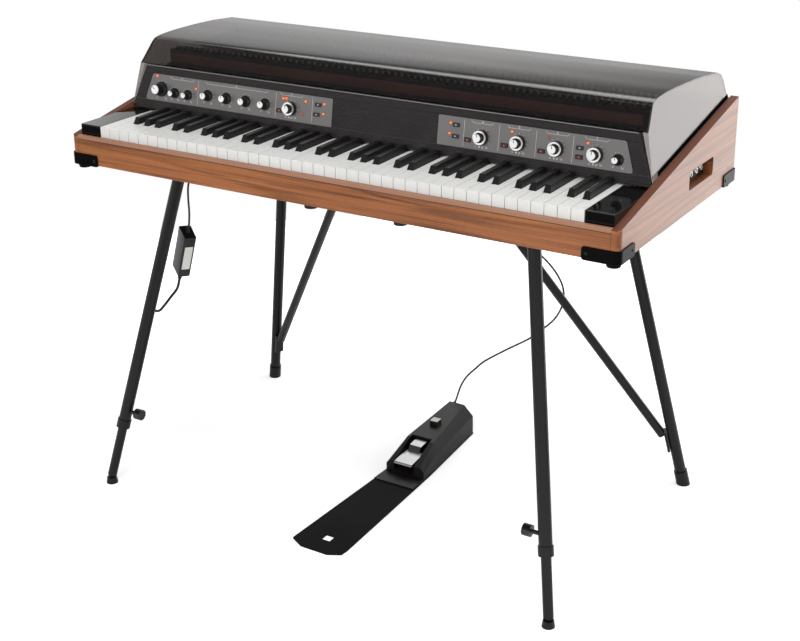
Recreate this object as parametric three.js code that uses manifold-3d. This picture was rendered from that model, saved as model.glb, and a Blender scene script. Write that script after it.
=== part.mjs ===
// A 73-key electric piano on four tubular legs, with its sustain pedal and its power supply.
// Millimetres, +X to the player's right, +Y away from the player, +Z up, and the floor at z = 0.

import * as THREE from 'three';
import { mergeVertices } from 'three/addons/utils/BufferGeometryUtils.js';
import Module from 'manifold-3d';

const wasm = await Module();
wasm.setup();
const { Manifold, Mesh } = wasm;

// The gap between pieces that touch.
const seam = 0.3;

// Keyboard: y = 0 is the front edge of the white keys, and x = 0 is the middle of the keyboard.
const keyTop = 732;
const octaveWidth = 164.5;
const keyPitch = octaveWidth / 7;
const whiteKeyCount = 43;
const keyGap = 0.6;
const whiteThickness = 18;
const whiteHeadLength = 50;
const blackLength = 95;
const blackWidth = 13.5;
const blackTopWidth = 10;
const blackHeight = 12;
const blackSlope = 8;
const blackClearance = 0.9;
const keyLength = 252;
const keyStickWidth = 11;
const keyPivotInset = 16;
const cheekClearance = 0.2;
const movingWhites = [19, 20, 21, 22, 23];
const movingBlacks = [20, 21];

// Wooden case.
const caseFront = -11;
const caseBack = 513;
const caseDrop = 75.5;
const railDrop = 21.5;
const rearRise = 80;
const boardThickness = 15;
const baseThickness = 12;
const frontRailThickness = 18;
const railLip = 9.4;
const railLipHeight = 10;
const cornerRadius = 11;
const cheekWidth = 50.3;
const cheekFront = 2;
const cheekDepth = 148;
const cheekFrontHeight = 20.9;
const jackRecess = { front: 282, back: 397, low: -36, high: -3, depth: 18, radius: 6, block: 7, margin: 9 };
const lidCleat = { width: 8, height: 10, drop: 1 };

// Under the keys: a bed, and a front rail and a balance rail on it.
const keyFrame = {
  endInset: 0.6, bedThickness: 11, frontRail: [22, 44], frontRailDrop: 13, balanceHalf: 13, seatHalf: 11,
  seatDrop: 6, ridgeHalf: 1.6,
};

// Under the case: sockets for the leads, clips and the spool for the mains lead.
const pedalSocket = { radius: 8, height: 20 };
const supplySocket = { width: 16, depth: 24, height: 9 };
const clip = { wall: 1.6, width: 6, room: 1.6, drop: 0.8, xs: [-310, -100, 60, 230, 405] };
const mainsClips = { width: 7, wall: 1.6, room: 0.5, zs: [-304, -174] };
const spool = { coreRadius: 14, rimRadius: 31, rimThickness: 2 };

// Metal corners.
const bracket = {
  wall: 2.2, length: 64, sideLength: 58, height: 21, endRadius: 6, rearCorner: 3, footRadius: 13,
  footHeight: 8,
};

// Control panel, its two plates and the knobs.
const panel = {
  front: 151, bottomRise: 2.5, height: 87, lean: 9.2, thickness: 14, endGap: 1.05, topInset: 31,
};
const plate = { thickness: 1.6, low: 18.5, high: 71, lowEnd: 521.4, highEnd: 503.9, radius: 5 };
const leftPlateInner = -75.5;
const rightPlateInner = 149.3;
const knobKinds = {
  volume: { radius: 14.5, skirt: 5, capRadius: 9.5, height: 21 },
  small: { radius: 9.8, skirt: 4, capRadius: 6, height: 16 },
  tone: { radius: 11, skirt: 4, capRadius: 7, height: 17 },
  effect: { radius: 13.3, skirt: 9, capRadius: 7.2, height: 19 },
};
const knobRows = [
  ['volume_knob', 'volume', -481, 44], ['bass_knob', 'small', -447, 40], ['treble_knob', 'small', -414.5, 40],
  ['tone_knob_1', 'tone', -365.5, 44.5], ['tone_knob_2', 'tone', -320, 44.5],
  ['tone_knob_3', 'tone', -274, 44.5], ['tone_knob_4', 'tone', -228, 44.5],
  ['drive_knob', 'effect', -168.5, 43.5],
  ['effect_knob_1', 'effect', 237, 43], ['effect_knob_2', 'effect', 308.5, 43],
  ['effect_knob_3', 'effect', 380, 43], ['effect_knob_4', 'effect', 452, 43],
  ['output_knob', 'small', 492.5, 40],
];

// The on and off button of each effect: its place across and its height over the key tops.
const button = {
  width: 13.5, height: 7.4, radius: 1.5, proud: 2, tail: 1.8, clearance: 0.4, pocket: 3.6,
};
const buttonRow = [
  ['drive_button', -194, 37], ['effect_button_1', 210, 35.6], ['effect_button_2', 282, 35.4],
  ['effect_button_3', 352.5, 35.2], ['effect_button_4', 422.5, 34.8],
];

// Clear lid.
const lid = {
  wall: 4, rim: 76.8, creaseDepth: 199, creaseRise: 132.3, rearDepth: 484, rearRise: 127.5, rearBottom: 503,
  cornerRadius: 16, topInset: 24.25, panelGap: 1.2,
};
const lidCrown = [[219, 136.6], [262, 138.7], [308, 138.6], [356, 137.5], [404, 135.2], [440, 132.2]];

// Harp inside the lid.
const harp = {
  noteCount: 73, barWidth: 4.4, barHeight: 5, barTop: 111, front: 231, railDepth: 18, railHeight: 46,
  bassLength: 205, trebleLength: 70, half: 506, postWidth: 12,
};

// Stand.
const frontLegTop = { x: 377.5, y: 81.5 };
const frontLegFoot = { x: 495.4, y: -64.5 };
const rearLegTop = { x: 381.3, y: 422.8 };
const rearLegFoot = { x: 510, y: 523.1 };
const upperTubeRadius = 12;
const upperTubeBore = 9.8;
const lowerTubeRadius = 9.2;
const rearTubeRadius = 11.2;
const collar = { low: 120, high: 137, radius: 13.8 };
const lowerTubeInside = 150;
const boreDepth = 330;
const foot = { radius: 11.7, height: 13, nutRadius: 6.5, nutHeight: 7, neckRadius: 5 };
const boot = { radius: 13.4, height: 31 };
const clampHeight = 154;
const clampKnob = { stemRadius: 4, stemLength: 16, headRadius: 10.8, headLength: 15 };
const legFlange = { radius: 34, thickness: 5 };
const braceTop = { x: 127.5, y: 304 };
const braceRadius = 9;
const braceJoint = 84;
const braceTab = { length: 46, width: 19, thickness: 5 };
const bracePlate = { radius: 24, thickness: 5 };
const undersideFeet = { xs: [-35, 152], y: 24, radius: 14, height: 15 };

// Pedal.
const pedal = {
  back: 500, plate: 3.2, lipFront: 216, lipHeight: 3, slotHalf: 23.5, slotBack: 372, roofFront: 338,
  roofLow: 51,
};
// The pedal's width from front to back: depth, the middle's x and half the width.
const pedalPlan = [[-68.5, 10, 57.5], [285, 10, 44.4], [500, 1, 38]];
const pedalTip = [[-47.5, -52.5], [-18.5, -68.5], [41, -68.5], [65, -55.5], [66.8, -39.6]];
const pedalHole = { x: 11.5, y: -20.5, half: 9.5 };
// The housing's sections: depth, height of the top and of the sides, and the x where the top ends.
const pedalSections = [
  { y: 262, top: 28, side: 20, left: -27, right: 45 },
  { y: 327, top: 55, side: 38, left: -23, right: 39 },
  { y: 498, top: 64.5, side: 43, left: -19, right: 17 },
];
const pedalPost = { x: 4, y: 397, half: 9, low: 50, high: 69 };
const pedalGland = { from: [-9, 492, 55], to: [-9, 503, 62.7], radius: 5, tipRadius: 3.4 };
const lever = {
  x: 7, front: 255, back: 364, half: 20.5, tip: 31, thickness: 5, toeLength: 51, stepRise: 17, neckHalf: 13.5,
};
const leverPivot = { y: 360, z: 44, radius: 3 };

// The power supply hangs behind the front left leg, tilted as it hangs.
const powerBrick = { centre: [-401.8, 100, -264.8], size: [24.5, 41, 97], edge: 2.5 };
const dcRelief = { length: 14, baseRadius: 4.2, tipRadius: 2.6 };
const inlet = { length: 21, radius: 6.5, tipRadius: 3.6 };
const brickLong = new THREE.Vector3(0.345, -0.119, 0.931).normalize();
const brickFlat = new THREE.Vector3(0.519, 0.851, -0.084);
brickFlat.addScaledVector(brickLong, -brickFlat.dot(brickLong)).normalize();
const brickWide = new THREE.Vector3().crossVectors(brickLong, brickFlat);
const brickMiddle = new THREE.Vector3(...powerBrick.centre);
const brickAt = distance => brickMiddle.clone().addScaledVector(brickLong, distance).toArray();
const dcExit = powerBrick.size[2] / 2 + dcRelief.length;
const mainsExit = powerBrick.size[2] / 2 + inlet.length;

// Cords. The points are chosen by hand, in the same frame as the keyboard, with z from the key tops.
const pedalLead = { radius: 2, sides: 8, steps: 50 };
const pedalLeadPoints = [
  [-9, 503.4, -669.1], [-9, 506.7, -666.6], [-8.5, 510.6, -660.5], [-5, 512.3, -647], [3.1, 510.5, -627],
  [19, 506, -602], [41.7, 502, -577], [62, 499, -556], [118, 497, -514], [173, 495, -475],
  [204, 494, -446], [227, 493, -421], [241, 492, -396], [248, 490, -369], [246, 488, -345],
  [236, 486, -323], [218, 484, -301], [194, 482, -281], [164, 480, -259], [132, 478, -231],
  [108, 475, -198], [95, 472, -160], [90, 470, -125], [90, 470, -95.8],
];
const dcLead = { radius: 2, sides: 8, steps: 52 };
const dcLeadPoints = [
  brickAt(dcExit + seam), brickAt(dcExit + 5), [-376.2, 92.3, -176], [-378.5, 94.5, -150], [-379, 97, -126],
  [-377, 103, -106], [-372, 116, -90], [-362, 134, -81.5], [-345, 150, -79], [-310, 163, -78.6],
  [-250, 172, -78.6], [-180, 178, -78.6], [-100, 182, -78.6], [-20, 187, -78.6], [60, 196, -78.6],
  [140, 214, -78.6], [230, 236, -78.6], [320, 256, -78.6], [405, 276, -78.6], [452, 296, -78.8],
  [469, 328, -79.4], [470, 359.7, -80],
];
const mainsLead = { radius: 2.75, sides: 8, steps: 46 };
const mainsLeadPoints = [
  brickAt(-mainsExit - seam), brickAt(-mainsExit - 7), [-433, 107, -353], [-439.5, 93, -368.5],
  [-440, 74, -379], [-438, 54, -384], [-437.6, 38.5, -376], [-436.4, 33.3, -358], [-431.8, 39, -331],
  [-426.9, 45, -304], [-421.5, 51.5, -274], [-415.6, 58.6, -241], [-409.8, 65.7, -208.5],
  [-403.5, 73.2, -174], [-397.8, 80.5, -143], [-396.5, 88.5, -118], [-399, 103, -99],
  [-401.5, 124, -86.5], [-402.5, 146, -80.6], [-403, 171, -79], [-403, 192.7, -79],
];
const mainsCoil = { y: 213, turnsPerLayer: 3, firstRadius: 22, pitch: 6.1, layerStep: 6.1, stepsPerTurn: 24 };
const mainsPlug = { y: 188, bodyRadius: 12, bodyLength: 34, pinRadius: 2.2, pinLength: 18, pinSpacing: 17 };

// Derived sizes of the case.
const halfField = whiteKeyCount * keyPitch / 2;
const cheekInner = halfField + cheekClearance;
const keyPivotDepth = keyLength - keyPivotInset;
const cheekOuter = cheekInner + cheekWidth;
const sideInner = cheekOuter + seam;
const caseHalf = sideInner + boardThickness;
const beyond = 2 * caseHalf;
const caseBottom = keyTop - caseDrop;
const railTop = keyTop - railDrop;
const railBack = caseFront + frontRailThickness;
const baseTop = caseBottom + baseThickness;
const boardBackInner = caseBack - boardThickness;
const sideTopAt = y => railTop + (rearRise + railDrop) * (y - caseFront) / (caseBack - caseFront);
const panelLowHalf = sideInner - panel.endGap;
const panelTopHalf = panelLowHalf - panel.topInset;
const lidLowHalf = sideInner - seam;

const group = new THREE.Group();
group.name = 'electric_piano';

const walnut = () => new THREE.MeshStandardMaterial({ color: 0x9a6440, roughness: 0.45, metalness: 0 });
const blackMetal = () => new THREE.MeshStandardMaterial({ color: 0x1c1c1d, roughness: 0.42, metalness: 0.6 });
const blackPlastic = () => new THREE.MeshStandardMaterial({ color: 0x161617, roughness: 0.35, metalness: 0 });
const blackCable = () => new THREE.MeshStandardMaterial({ color: 0x141414, roughness: 0.6, metalness: 0 });
const ivory = () => new THREE.MeshStandardMaterial({ color: 0xf1f1ee, roughness: 0.25, metalness: 0 });
const chrome = () => new THREE.MeshStandardMaterial({ color: 0xd8d8d8, roughness: 0.12, metalness: 1 });
const greyPlate = () => new THREE.MeshStandardMaterial({ color: 0x6f6d6c, roughness: 0.4, metalness: 0.3 });
const smokedLid = () => new THREE.MeshStandardMaterial({
  color: 0x3a3230, roughness: 0.06, metalness: 0, transparent: true, opacity: 0.55,
});

// A closed three.js geometry as a solid for cutting and joining. Where its faces point inwards, which
// depends on the path of an extruded tube, they are turned round.
function solid(geometry) {
  const bare = geometry.index ? geometry.toNonIndexed() : geometry.clone();
  for (const name of Object.keys(bare.attributes)) {
    if (name !== 'position') bare.deleteAttribute(name);
  }
  const merged = mergeVertices(bare, 1e-4);
  const vertProperties = new Float32Array(merged.attributes.position.array);
  const triVerts = new Uint32Array(merged.index.array);
  const corner = index => new THREE.Vector3().fromArray(vertProperties, 3 * triVerts[index]);
  let volume = 0;
  for (let i = 0; i < triVerts.length; i += 3) {
    volume += corner(i).dot(corner(i + 1).cross(corner(i + 2)));
  }
  if (volume < 0) triVerts.reverse();
  return new Manifold(new Mesh({ numProp: 3, vertProperties, triVerts }));
}

// A solid as a three.js geometry.
function geometryOf(body) {
  const mesh = body.getMesh();
  const geometry = new THREE.BufferGeometry();
  geometry.setAttribute('position', new THREE.BufferAttribute(mesh.vertProperties, 3));
  geometry.setIndex(new THREE.BufferAttribute(mesh.triVerts, 1));
  geometry.computeVertexNormals();
  return geometry;
}

function join(bodies) {
  return bodies.reduce((sum, body) => sum.add(body));
}

function addPiece(name, body, material, parent = group) {
  const mesh = new THREE.Mesh(geometryOf(body), material);
  mesh.name = name;
  parent.add(mesh);
  return mesh;
}

// A box between two values on each axis.
function block(x0, x1, y0, y1, z0, z1) {
  const geometry = new THREE.BoxGeometry(x1 - x0, y1 - y0, z1 - z0);
  geometry.translate((x0 + x1) / 2, (y0 + y1) / 2, (z0 + z1) / 2);
  return solid(geometry);
}

// An outline of [x, y] points as a three.js shape.
function outlineOf(points) {
  return new THREE.Shape(points.map(([x, y]) => new THREE.Vector2(x, y)));
}

// An outline with each corner rounded by its own radius, given as [x, y, radius].
function roundedOutline(corners) {
  const shape = new THREE.Shape();
  const count = corners.length;
  corners.forEach(([x, y, radius = 0], index) => {
    const [px, py] = corners[(index + count - 1) % count];
    const [nx, ny] = corners[(index + 1) % count];
    const before = new THREE.Vector2(px - x, py - y).normalize();
    const after = new THREE.Vector2(nx - x, ny - y).normalize();
    const half = Math.acos(THREE.MathUtils.clamp(before.dot(after), -1, 1)) / 2;
    const reach = radius / Math.tan(half);
    const start = new THREE.Vector2(x, y).addScaledVector(before, reach);
    const end = new THREE.Vector2(x, y).addScaledVector(after, reach);
    if (index === 0) shape.moveTo(start.x, start.y);
    else shape.lineTo(start.x, start.y);
    if (radius > 0) shape.quadraticCurveTo(x, y, end.x, end.y);
  });
  shape.closePath();
  return shape;
}

// A shape in the XY plane raised along Z.
function raised(shape, z0, z1, curveSegments = 4) {
  const geometry = new THREE.ExtrudeGeometry(shape, { depth: z1 - z0, bevelEnabled: false, curveSegments });
  geometry.translate(0, 0, z0);
  return solid(geometry);
}

// A shape whose two coordinates are Y and Z, carried along X.
function acrossX(shape, x0, x1, curveSegments = 4) {
  const geometry = new THREE.ExtrudeGeometry(shape, { depth: x1 - x0, bevelEnabled: false, curveSegments });
  geometry.applyMatrix4(new THREE.Matrix4().set(0, 0, 1, x0, 1, 0, 0, 0, 0, 1, 0, 0, 0, 0, 0, 1));
  return solid(geometry);
}

// A shape whose two coordinates are X and Z, carried along Y.
function alongY(shape, y0, y1, curveSegments = 4) {
  const geometry = new THREE.ExtrudeGeometry(shape, { depth: y1 - y0, bevelEnabled: false, curveSegments });
  geometry.applyMatrix4(new THREE.Matrix4().set(1, 0, 0, 0, 0, 0, -1, y1, 0, 1, 0, 0, 0, 0, 0, 1));
  return solid(geometry);
}

// A round bar between two points, or a cone when the second radius differs.
function rod(from, to, radius, segments = 20, endRadius = radius) {
  const start = new THREE.Vector3(...from);
  const axis = new THREE.Vector3(...to).sub(start);
  const geometry = new THREE.CylinderGeometry(endRadius, radius, axis.length(), segments);
  geometry.translate(0, axis.length() / 2, 0);
  const up = new THREE.Vector3(0, 1, 0);
  geometry.applyQuaternion(new THREE.Quaternion().setFromUnitVectors(up, axis.normalize()));
  geometry.translate(start.x, start.y, start.z);
  return solid(geometry);
}

// A block whose top face is smaller than its bottom face.
function taperedBlock(low, high, z0, z1) {
  const geometry = new THREE.BoxGeometry(1, 1, 1);
  const position = geometry.attributes.position;
  for (let i = 0; i < position.count; i++) {
    const face = position.getZ(i) < 0 ? low : high;
    const x = position.getX(i) < 0 ? face[0] : face[1];
    const y = position.getY(i) < 0 ? face[2] : face[3];
    position.setXYZ(i, x, y, position.getZ(i) < 0 ? z0 : z1);
  }
  return solid(geometry);
}

// The front rail: a board between the side panels, with a lip under the key fronts.
const railHalf = sideInner - seam;
const lipBack = caseFront + railLip;
const rail = acrossX(roundedOutline([
  [caseFront, caseBottom, 1.5], [railBack, caseBottom], [railBack, railTop - railLipHeight],
  [lipBack, railTop - railLipHeight], [lipBack, railTop, 2], [caseFront, railTop, 3.5],
]), -railHalf, railHalf);
addPiece('front_rail', rail, walnut());

// The side panels rise to the back, and their front ends are the case's rounded corners. A cleat on the
// inside carries the lid. The right one has a recess for the sockets, with a board behind it.
function sidePanel(side) {
  const rise = acrossX(roundedOutline([
    [caseFront, caseBottom, 1.5], [caseBack, caseBottom], [caseBack, sideTopAt(caseBack)],
    [caseFront, railTop, 3.5],
  ]), sideInner, caseHalf);
  const plan = raised(roundedOutline([
    [sideInner, caseFront], [caseHalf, caseFront, cornerRadius], [caseHalf, caseBack], [sideInner, caseBack],
  ]), 0, beyond, 8);
  const cleatFront = panel.front + panel.thickness + 6;
  const cleatBack = boardBackInner - seam;
  const cleatTop = y => sideTopAt(y) - lidCleat.drop;
  const cleat = acrossX(outlineOf([
    [cleatFront, cleatTop(cleatFront) - lidCleat.height], [cleatBack, cleatTop(cleatBack) - lidCleat.height],
    [cleatBack, cleatTop(cleatBack)], [cleatFront, cleatTop(cleatFront)],
  ]), sideInner - lidCleat.width, sideInner + 1);
  const board = rise.intersect(plan).add(cleat);
  if (side < 0) return board.mirror([1, 0, 0]);
  const { front, back, low, high, depth, radius, block: backing, margin } = jackRecess;
  const backBoard = block(sideInner - backing, sideInner + 1, front - margin, back + margin,
    keyTop + low - margin, keyTop + high + margin);
  const pocket = acrossX(roundedOutline([
    [front, keyTop + low, radius], [back, keyTop + low, radius],
    [back, keyTop + high, radius], [front, keyTop + high, radius],
  ]), caseHalf - depth, caseHalf + 1, 4);
  return board.add(backBoard).subtract(pocket);
}
addPiece('left_side_panel', sidePanel(-1), walnut());
addPiece('right_side_panel', sidePanel(1), walnut());

const backHalf = sideInner - seam;
const backPanel = block(-backHalf, backHalf, boardBackInner, caseBack, caseBottom, keyTop + lid.rim - seam);
addPiece('back_panel', backPanel, walnut());

// The base board carries the keyboard. Under it are two rubber feet, a socket for each lead, clips for
// the lead of the power supply, and a spool for the mains lead.
function leadClip(x) {
  const [, y, z] = dcLeadPoints.find(point => point[0] === x);
  const half = clip.width / 2;
  const reach = dcLead.radius + clip.room;
  const low = keyTop + z - dcLead.radius - clip.drop;
  const outside = block(x - half, x + half, y - reach - clip.wall, y + reach + clip.wall, low - clip.wall,
    caseBottom + 1);
  return outside.subtract(block(x - half - 1, x + half + 1, y - reach, y + reach, low, caseBottom - 0.01));
}
const [pedalSocketX, pedalSocketY] = pedalLeadPoints.at(-1);
const [supplySocketX, supplyLeadEnd] = dcLeadPoints.at(-1);
const supplySocketFront = supplyLeadEnd + seam;
const coilOuterRadius = mainsCoil.firstRadius + mainsCoil.pitch * (mainsCoil.turnsPerLayer + 0.25);
const spoolX = mainsLeadPoints.at(-1)[0] + coilOuterRadius;
const spoolLow = keyTop + mainsLeadPoints.at(-1)[2] - mainsCoil.layerStep - mainsLead.radius - 2 * seam;
const spoolAt = z => [spoolX, mainsCoil.y, z];
const base = join([
  block(-backHalf, backHalf, railBack + seam, boardBackInner - seam, caseBottom, baseTop),
  ...undersideFeet.xs.map(x => rod([x, undersideFeet.y, caseBottom - undersideFeet.height],
    [x, undersideFeet.y, caseBottom + 1], undersideFeet.radius - 2, 20, undersideFeet.radius)),
  rod([pedalSocketX, pedalSocketY, caseBottom - pedalSocket.height],
    [pedalSocketX, pedalSocketY, caseBottom + 1], pedalSocket.radius, 16),
  block(supplySocketX - supplySocket.width / 2, supplySocketX + supplySocket.width / 2, supplySocketFront,
    supplySocketFront + supplySocket.depth, caseBottom - supplySocket.height, caseBottom + 1),
  ...clip.xs.map(leadClip),
  rod(spoolAt(spoolLow - 1), spoolAt(caseBottom + 1), spool.coreRadius, 20),
  rod(spoolAt(spoolLow - spool.rimThickness), spoolAt(spoolLow), spool.rimRadius, 20),
]);
addPiece('base_board', base, blackPlastic());

// The blocks at the ends of the keyboard stand on the base board and lap over the front rail.
function cheekBlock(side) {
  const back = cheekFront + cheekDepth;
  const body = acrossX(roundedOutline([
    [cheekFront, keyTop - cheekFrontHeight], [railBack + seam, keyTop - cheekFrontHeight],
    [railBack + seam, baseTop + seam], [back, baseTop + seam], [back, keyTop, 1.2], [cheekFront, keyTop, 1.8],
  ]), cheekInner, cheekOuter, 3);
  return side > 0 ? body : body.mirror([1, 0, 0]);
}
addPiece('left_cheek_block', cheekBlock(-1), blackPlastic());
addPiece('right_cheek_block', cheekBlock(1), blackPlastic());

// Corner brackets: an angle round the corner with rounded ends, a plate under it and a round foot.
function cornerBracket(side, rear) {
  const { wall, length, sideLength, height, endRadius, footRadius, footHeight, rearCorner } = bracket;
  const outer = rear ? rearCorner : cornerRadius + wall;
  const inner = rear ? 0 : cornerRadius + seam;
  const face = rear ? caseBack : caseFront;
  const out = rear ? 1 : -1;
  const faceOut = face + out * (seam + wall);
  const faceIn = face - out * sideLength;
  const x0 = caseHalf - length;
  const x1 = caseHalf + seam + wall;
  const topZ = caseBottom + height;
  const lowZ = caseBottom - seam - wall;
  const plan = raised(roundedOutline([
    [x0, faceOut], [x1, faceOut, outer], [x1, faceIn], [x0, faceIn],
  ]), lowZ, topZ, 6);
  const wood = raised(roundedOutline([
    [x0 - 5, face + out * seam], [caseHalf + seam, face + out * seam, inner],
    [caseHalf + seam, faceIn - out * 5], [x0 - 5, faceIn - out * 5],
  ]), caseBottom - seam, topZ + 1, 6);
  const fromFront = alongY(roundedOutline([
    [x0, lowZ, endRadius], [x1, lowZ], [x1, topZ], [x0, topZ, endRadius],
  ]), -beyond, beyond);
  const fromSide = acrossX(roundedOutline([
    [faceIn, lowZ, endRadius], [faceOut, lowZ], [faceOut, topZ], [faceIn, topZ, endRadius],
  ]), -beyond, beyond);
  const padX = caseHalf - footRadius - 2;
  const padY = face - out * (footRadius + 2);
  const pad = rod([padX, padY, lowZ - footHeight], [padX, padY, lowZ + 1], footRadius - 1.5, 18, footRadius);
  const body = plan.subtract(wood).intersect(fromFront).intersect(fromSide).add(pad);
  return side > 0 ? body : body.mirror([1, 0, 0]);
}
addPiece('front_left_corner_bracket', cornerBracket(-1, false), blackMetal());
addPiece('front_right_corner_bracket', cornerBracket(1, false), blackMetal());
addPiece('rear_left_corner_bracket', cornerBracket(-1, true), blackMetal());
addPiece('rear_right_corner_bracket', cornerBracket(1, true), blackMetal());

// Keyboard. White keys count from E. A black key stands over the gap before these whites.
const blackShift = { 2: -2.6, 3: 0, 4: 2.6, 6: -2.2, 0: 2.2 };
const whiteNames = ['E', 'F', 'G', 'A', 'B', 'C', 'D'];
const sharpNames = { 2: 'F_sharp', 3: 'G_sharp', 4: 'A_sharp', 6: 'C_sharp', 0: 'D_sharp' };
const hasBlack = edge => edge > 0 && edge < whiteKeyCount && blackShift[edge % 7] !== undefined;
const edgeX = edge => edge * keyPitch - halfField;
const blackX = edge => edgeX(edge) + blackShift[edge % 7];
const whiteBottom = keyTop - whiteThickness;

function whiteKey(index) {
  const left = edgeX(index) + keyGap / 2;
  const right = edgeX(index + 1) - keyGap / 2;
  const reach = blackWidth / 2 + blackClearance;
  const neckLeft = hasBlack(index) ? blackX(index) + reach : left;
  const neckRight = hasBlack(index + 1) ? blackX(index + 1) - reach : right;
  const middle = (neckLeft + neckRight) / 2;
  const neckFront = whiteHeadLength - blackClearance;
  const neckBack = whiteHeadLength + blackLength + blackClearance;
  const points = [[left, 0], [right, 0]];
  if (neckRight < right) points.push([right, neckFront]);
  points.push([neckRight, neckFront], [neckRight, neckBack]);
  points.push([middle + keyStickWidth / 2, neckBack], [middle + keyStickWidth / 2, keyLength]);
  points.push([middle - keyStickWidth / 2, keyLength], [middle - keyStickWidth / 2, neckBack]);
  points.push([neckLeft, neckBack], [neckLeft, neckFront]);
  if (neckLeft > left) points.push([left, neckFront]);
  return raised(outlineOf(points), whiteBottom, keyTop);
}

function blackKey(edge) {
  const x = blackX(edge);
  const front = whiteHeadLength;
  const back = front + blackLength;
  const low = [x - blackWidth / 2, x + blackWidth / 2, front, back];
  const high = [x - blackTopWidth / 2, x + blackTopWidth / 2, front + blackSlope, back];
  const cap = taperedBlock(low, high, keyTop - 4, keyTop + blackHeight);
  const stickHalf = blackWidth / 2 - 1.6;
  return cap.add(block(x - stickHalf, x + stickHalf, front + 2, keyLength, whiteBottom, keyTop - 3));
}

const whites = [...Array(whiteKeyCount).keys()];
const fixedWhites = whites.filter(index => !movingWhites.includes(index));
const fixedBlacks = whites.filter(edge => hasBlack(edge) && !movingBlacks.includes(edge));
const movingX0 = edgeX(movingWhites[0]);
const movingX1 = edgeX(movingWhites.at(-1) + 1);

// The key frame: a plate, a front rail, and a balance rail on which the keys tip. The keys that don't
// move are fixed to the balance rail.
const frameHalf = halfField - keyFrame.endInset;
const frameTop = baseTop + seam + keyFrame.bedThickness;
const [frameRailFront, frameRailBack] = keyFrame.frontRail;
const seatLow = whiteBottom - keyFrame.seatDrop;
const frameRailTop = whiteBottom - keyFrame.frontRailDrop;
const balanceRail = (x0, x1, half, z0, z1) =>
  block(x0, x1, keyPivotDepth - half, keyPivotDepth + half, z0, z1);
const fixedSeat = (x0, x1) => balanceRail(x0, x1, keyFrame.seatHalf, seatLow, whiteBottom + 1);
const frameBodies = [
  block(-frameHalf, frameHalf, railBack + 1.3, keyLength + 8, baseTop + seam, frameTop),
  block(-frameHalf, frameHalf, frameRailFront, frameRailBack, frameTop - 1, frameRailTop),
  balanceRail(-frameHalf, frameHalf, keyFrame.balanceHalf, frameTop - 1, seatLow + 1),
  balanceRail(-frameHalf, frameHalf, keyFrame.ridgeHalf, seatLow, whiteBottom - seam),
  fixedSeat(-frameHalf, movingX0 - 1),
  fixedSeat(movingX1 + 1, frameHalf),
  ...fixedBlacks.map(edge => fixedSeat(blackX(edge) - 4, blackX(edge) + 4)),
  ...fixedWhites.map(whiteKey),
  ...fixedBlacks.map(blackKey),
];
addPiece('key_frame_with_fixed_keys', join(frameBodies), ivory());

for (const index of movingWhites) {
  addPiece(`key_${whiteNames[index % 7]}`, whiteKey(index), ivory());
}
for (const edge of movingBlacks) {
  addPiece(`key_${sharpNames[edge % 7]}`, blackKey(edge), blackPlastic());
}

// The control panel stands behind the keys and leans back. Its own frame has x across, y up the
// slope and z out of the face towards the player.
const leanBack = THREE.MathUtils.degToRad(panel.lean);
const panelGroup = new THREE.Group();
panelGroup.position.set(0, panel.front, keyTop + panel.bottomRise);
panelGroup.rotation.x = Math.PI / 2 - leanBack;
group.add(panelGroup);

const alongSlope = rise => (rise - panel.bottomRise) / Math.cos(leanBack);

// A block with rounded corners round a button's place, grown on all sides.
function buttonBlock(x, rise, grow, z0, z1) {
  const halfWidth = button.width / 2 + grow;
  const halfHeight = button.height / 2 + grow;
  const y = alongSlope(rise);
  return raised(roundedOutline([
    [x - halfWidth, y - halfHeight, button.radius], [x + halfWidth, y - halfHeight, button.radius],
    [x + halfWidth, y + halfHeight, button.radius], [x - halfWidth, y + halfHeight, button.radius],
  ]), z0, z1, 2);
}
const buttonPockets = join(buttonRow.map(([, x, rise]) =>
  buttonBlock(x, rise, button.clearance, -button.pocket, 5)));

const panelBody = raised(roundedOutline([
  [-panelLowHalf, 0], [panelLowHalf, 0], [panelTopHalf, panel.height, 3], [-panelTopHalf, panel.height, 3],
]), -panel.thickness, 0).subtract(buttonPockets);
addPiece('control_panel', panelBody, blackPlastic(), panelGroup);

function controlPlate(inner, side) {
  const lowEnd = side * plate.lowEnd;
  const highEnd = side * plate.highEnd;
  return raised(roundedOutline([
    [inner, plate.low, 2], [lowEnd, plate.low, plate.radius], [highEnd, plate.high, plate.radius],
    [inner, plate.high, 2],
  ]), seam, seam + plate.thickness).subtract(buttonPockets);
}
addPiece('left_control_plate', controlPlate(leftPlateInner, -1), greyPlate(), panelGroup);
addPiece('right_control_plate', controlPlate(rightPlateInner, 1), greyPlate(), panelGroup);
for (const [name, x, rise] of buttonRow) {
  const face = seam + plate.thickness + button.proud;
  addPiece(name, buttonBlock(x, rise, 0, -button.tail, face), blackPlastic(), panelGroup);
}

// Each knob is turned on a lathe: a skirt, a waist and a cap.
function knobBody(kind) {
  const { radius, skirt, capRadius, height } = knobKinds[kind];
  const profile = [
    [0, 0], [radius, 0], [radius, skirt - 0.8], [radius - 0.8, skirt], [capRadius + 1.4, skirt],
    [capRadius, skirt + 1.6], [capRadius - 0.4, height - 1], [capRadius - 1.4, height], [0, height],
  ].map(([r, h]) => new THREE.Vector2(r, h));
  const geometry = new THREE.LatheGeometry(profile, 16);
  geometry.rotateX(Math.PI / 2);
  return solid(geometry);
}
for (const [name, kind, x, rise] of knobRows) {
  const knob = addPiece(name, knobBody(kind), blackPlastic(), panelGroup);
  knob.position.set(x, alongSlope(rise), plate.thickness + 2 * seam);
}

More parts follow.
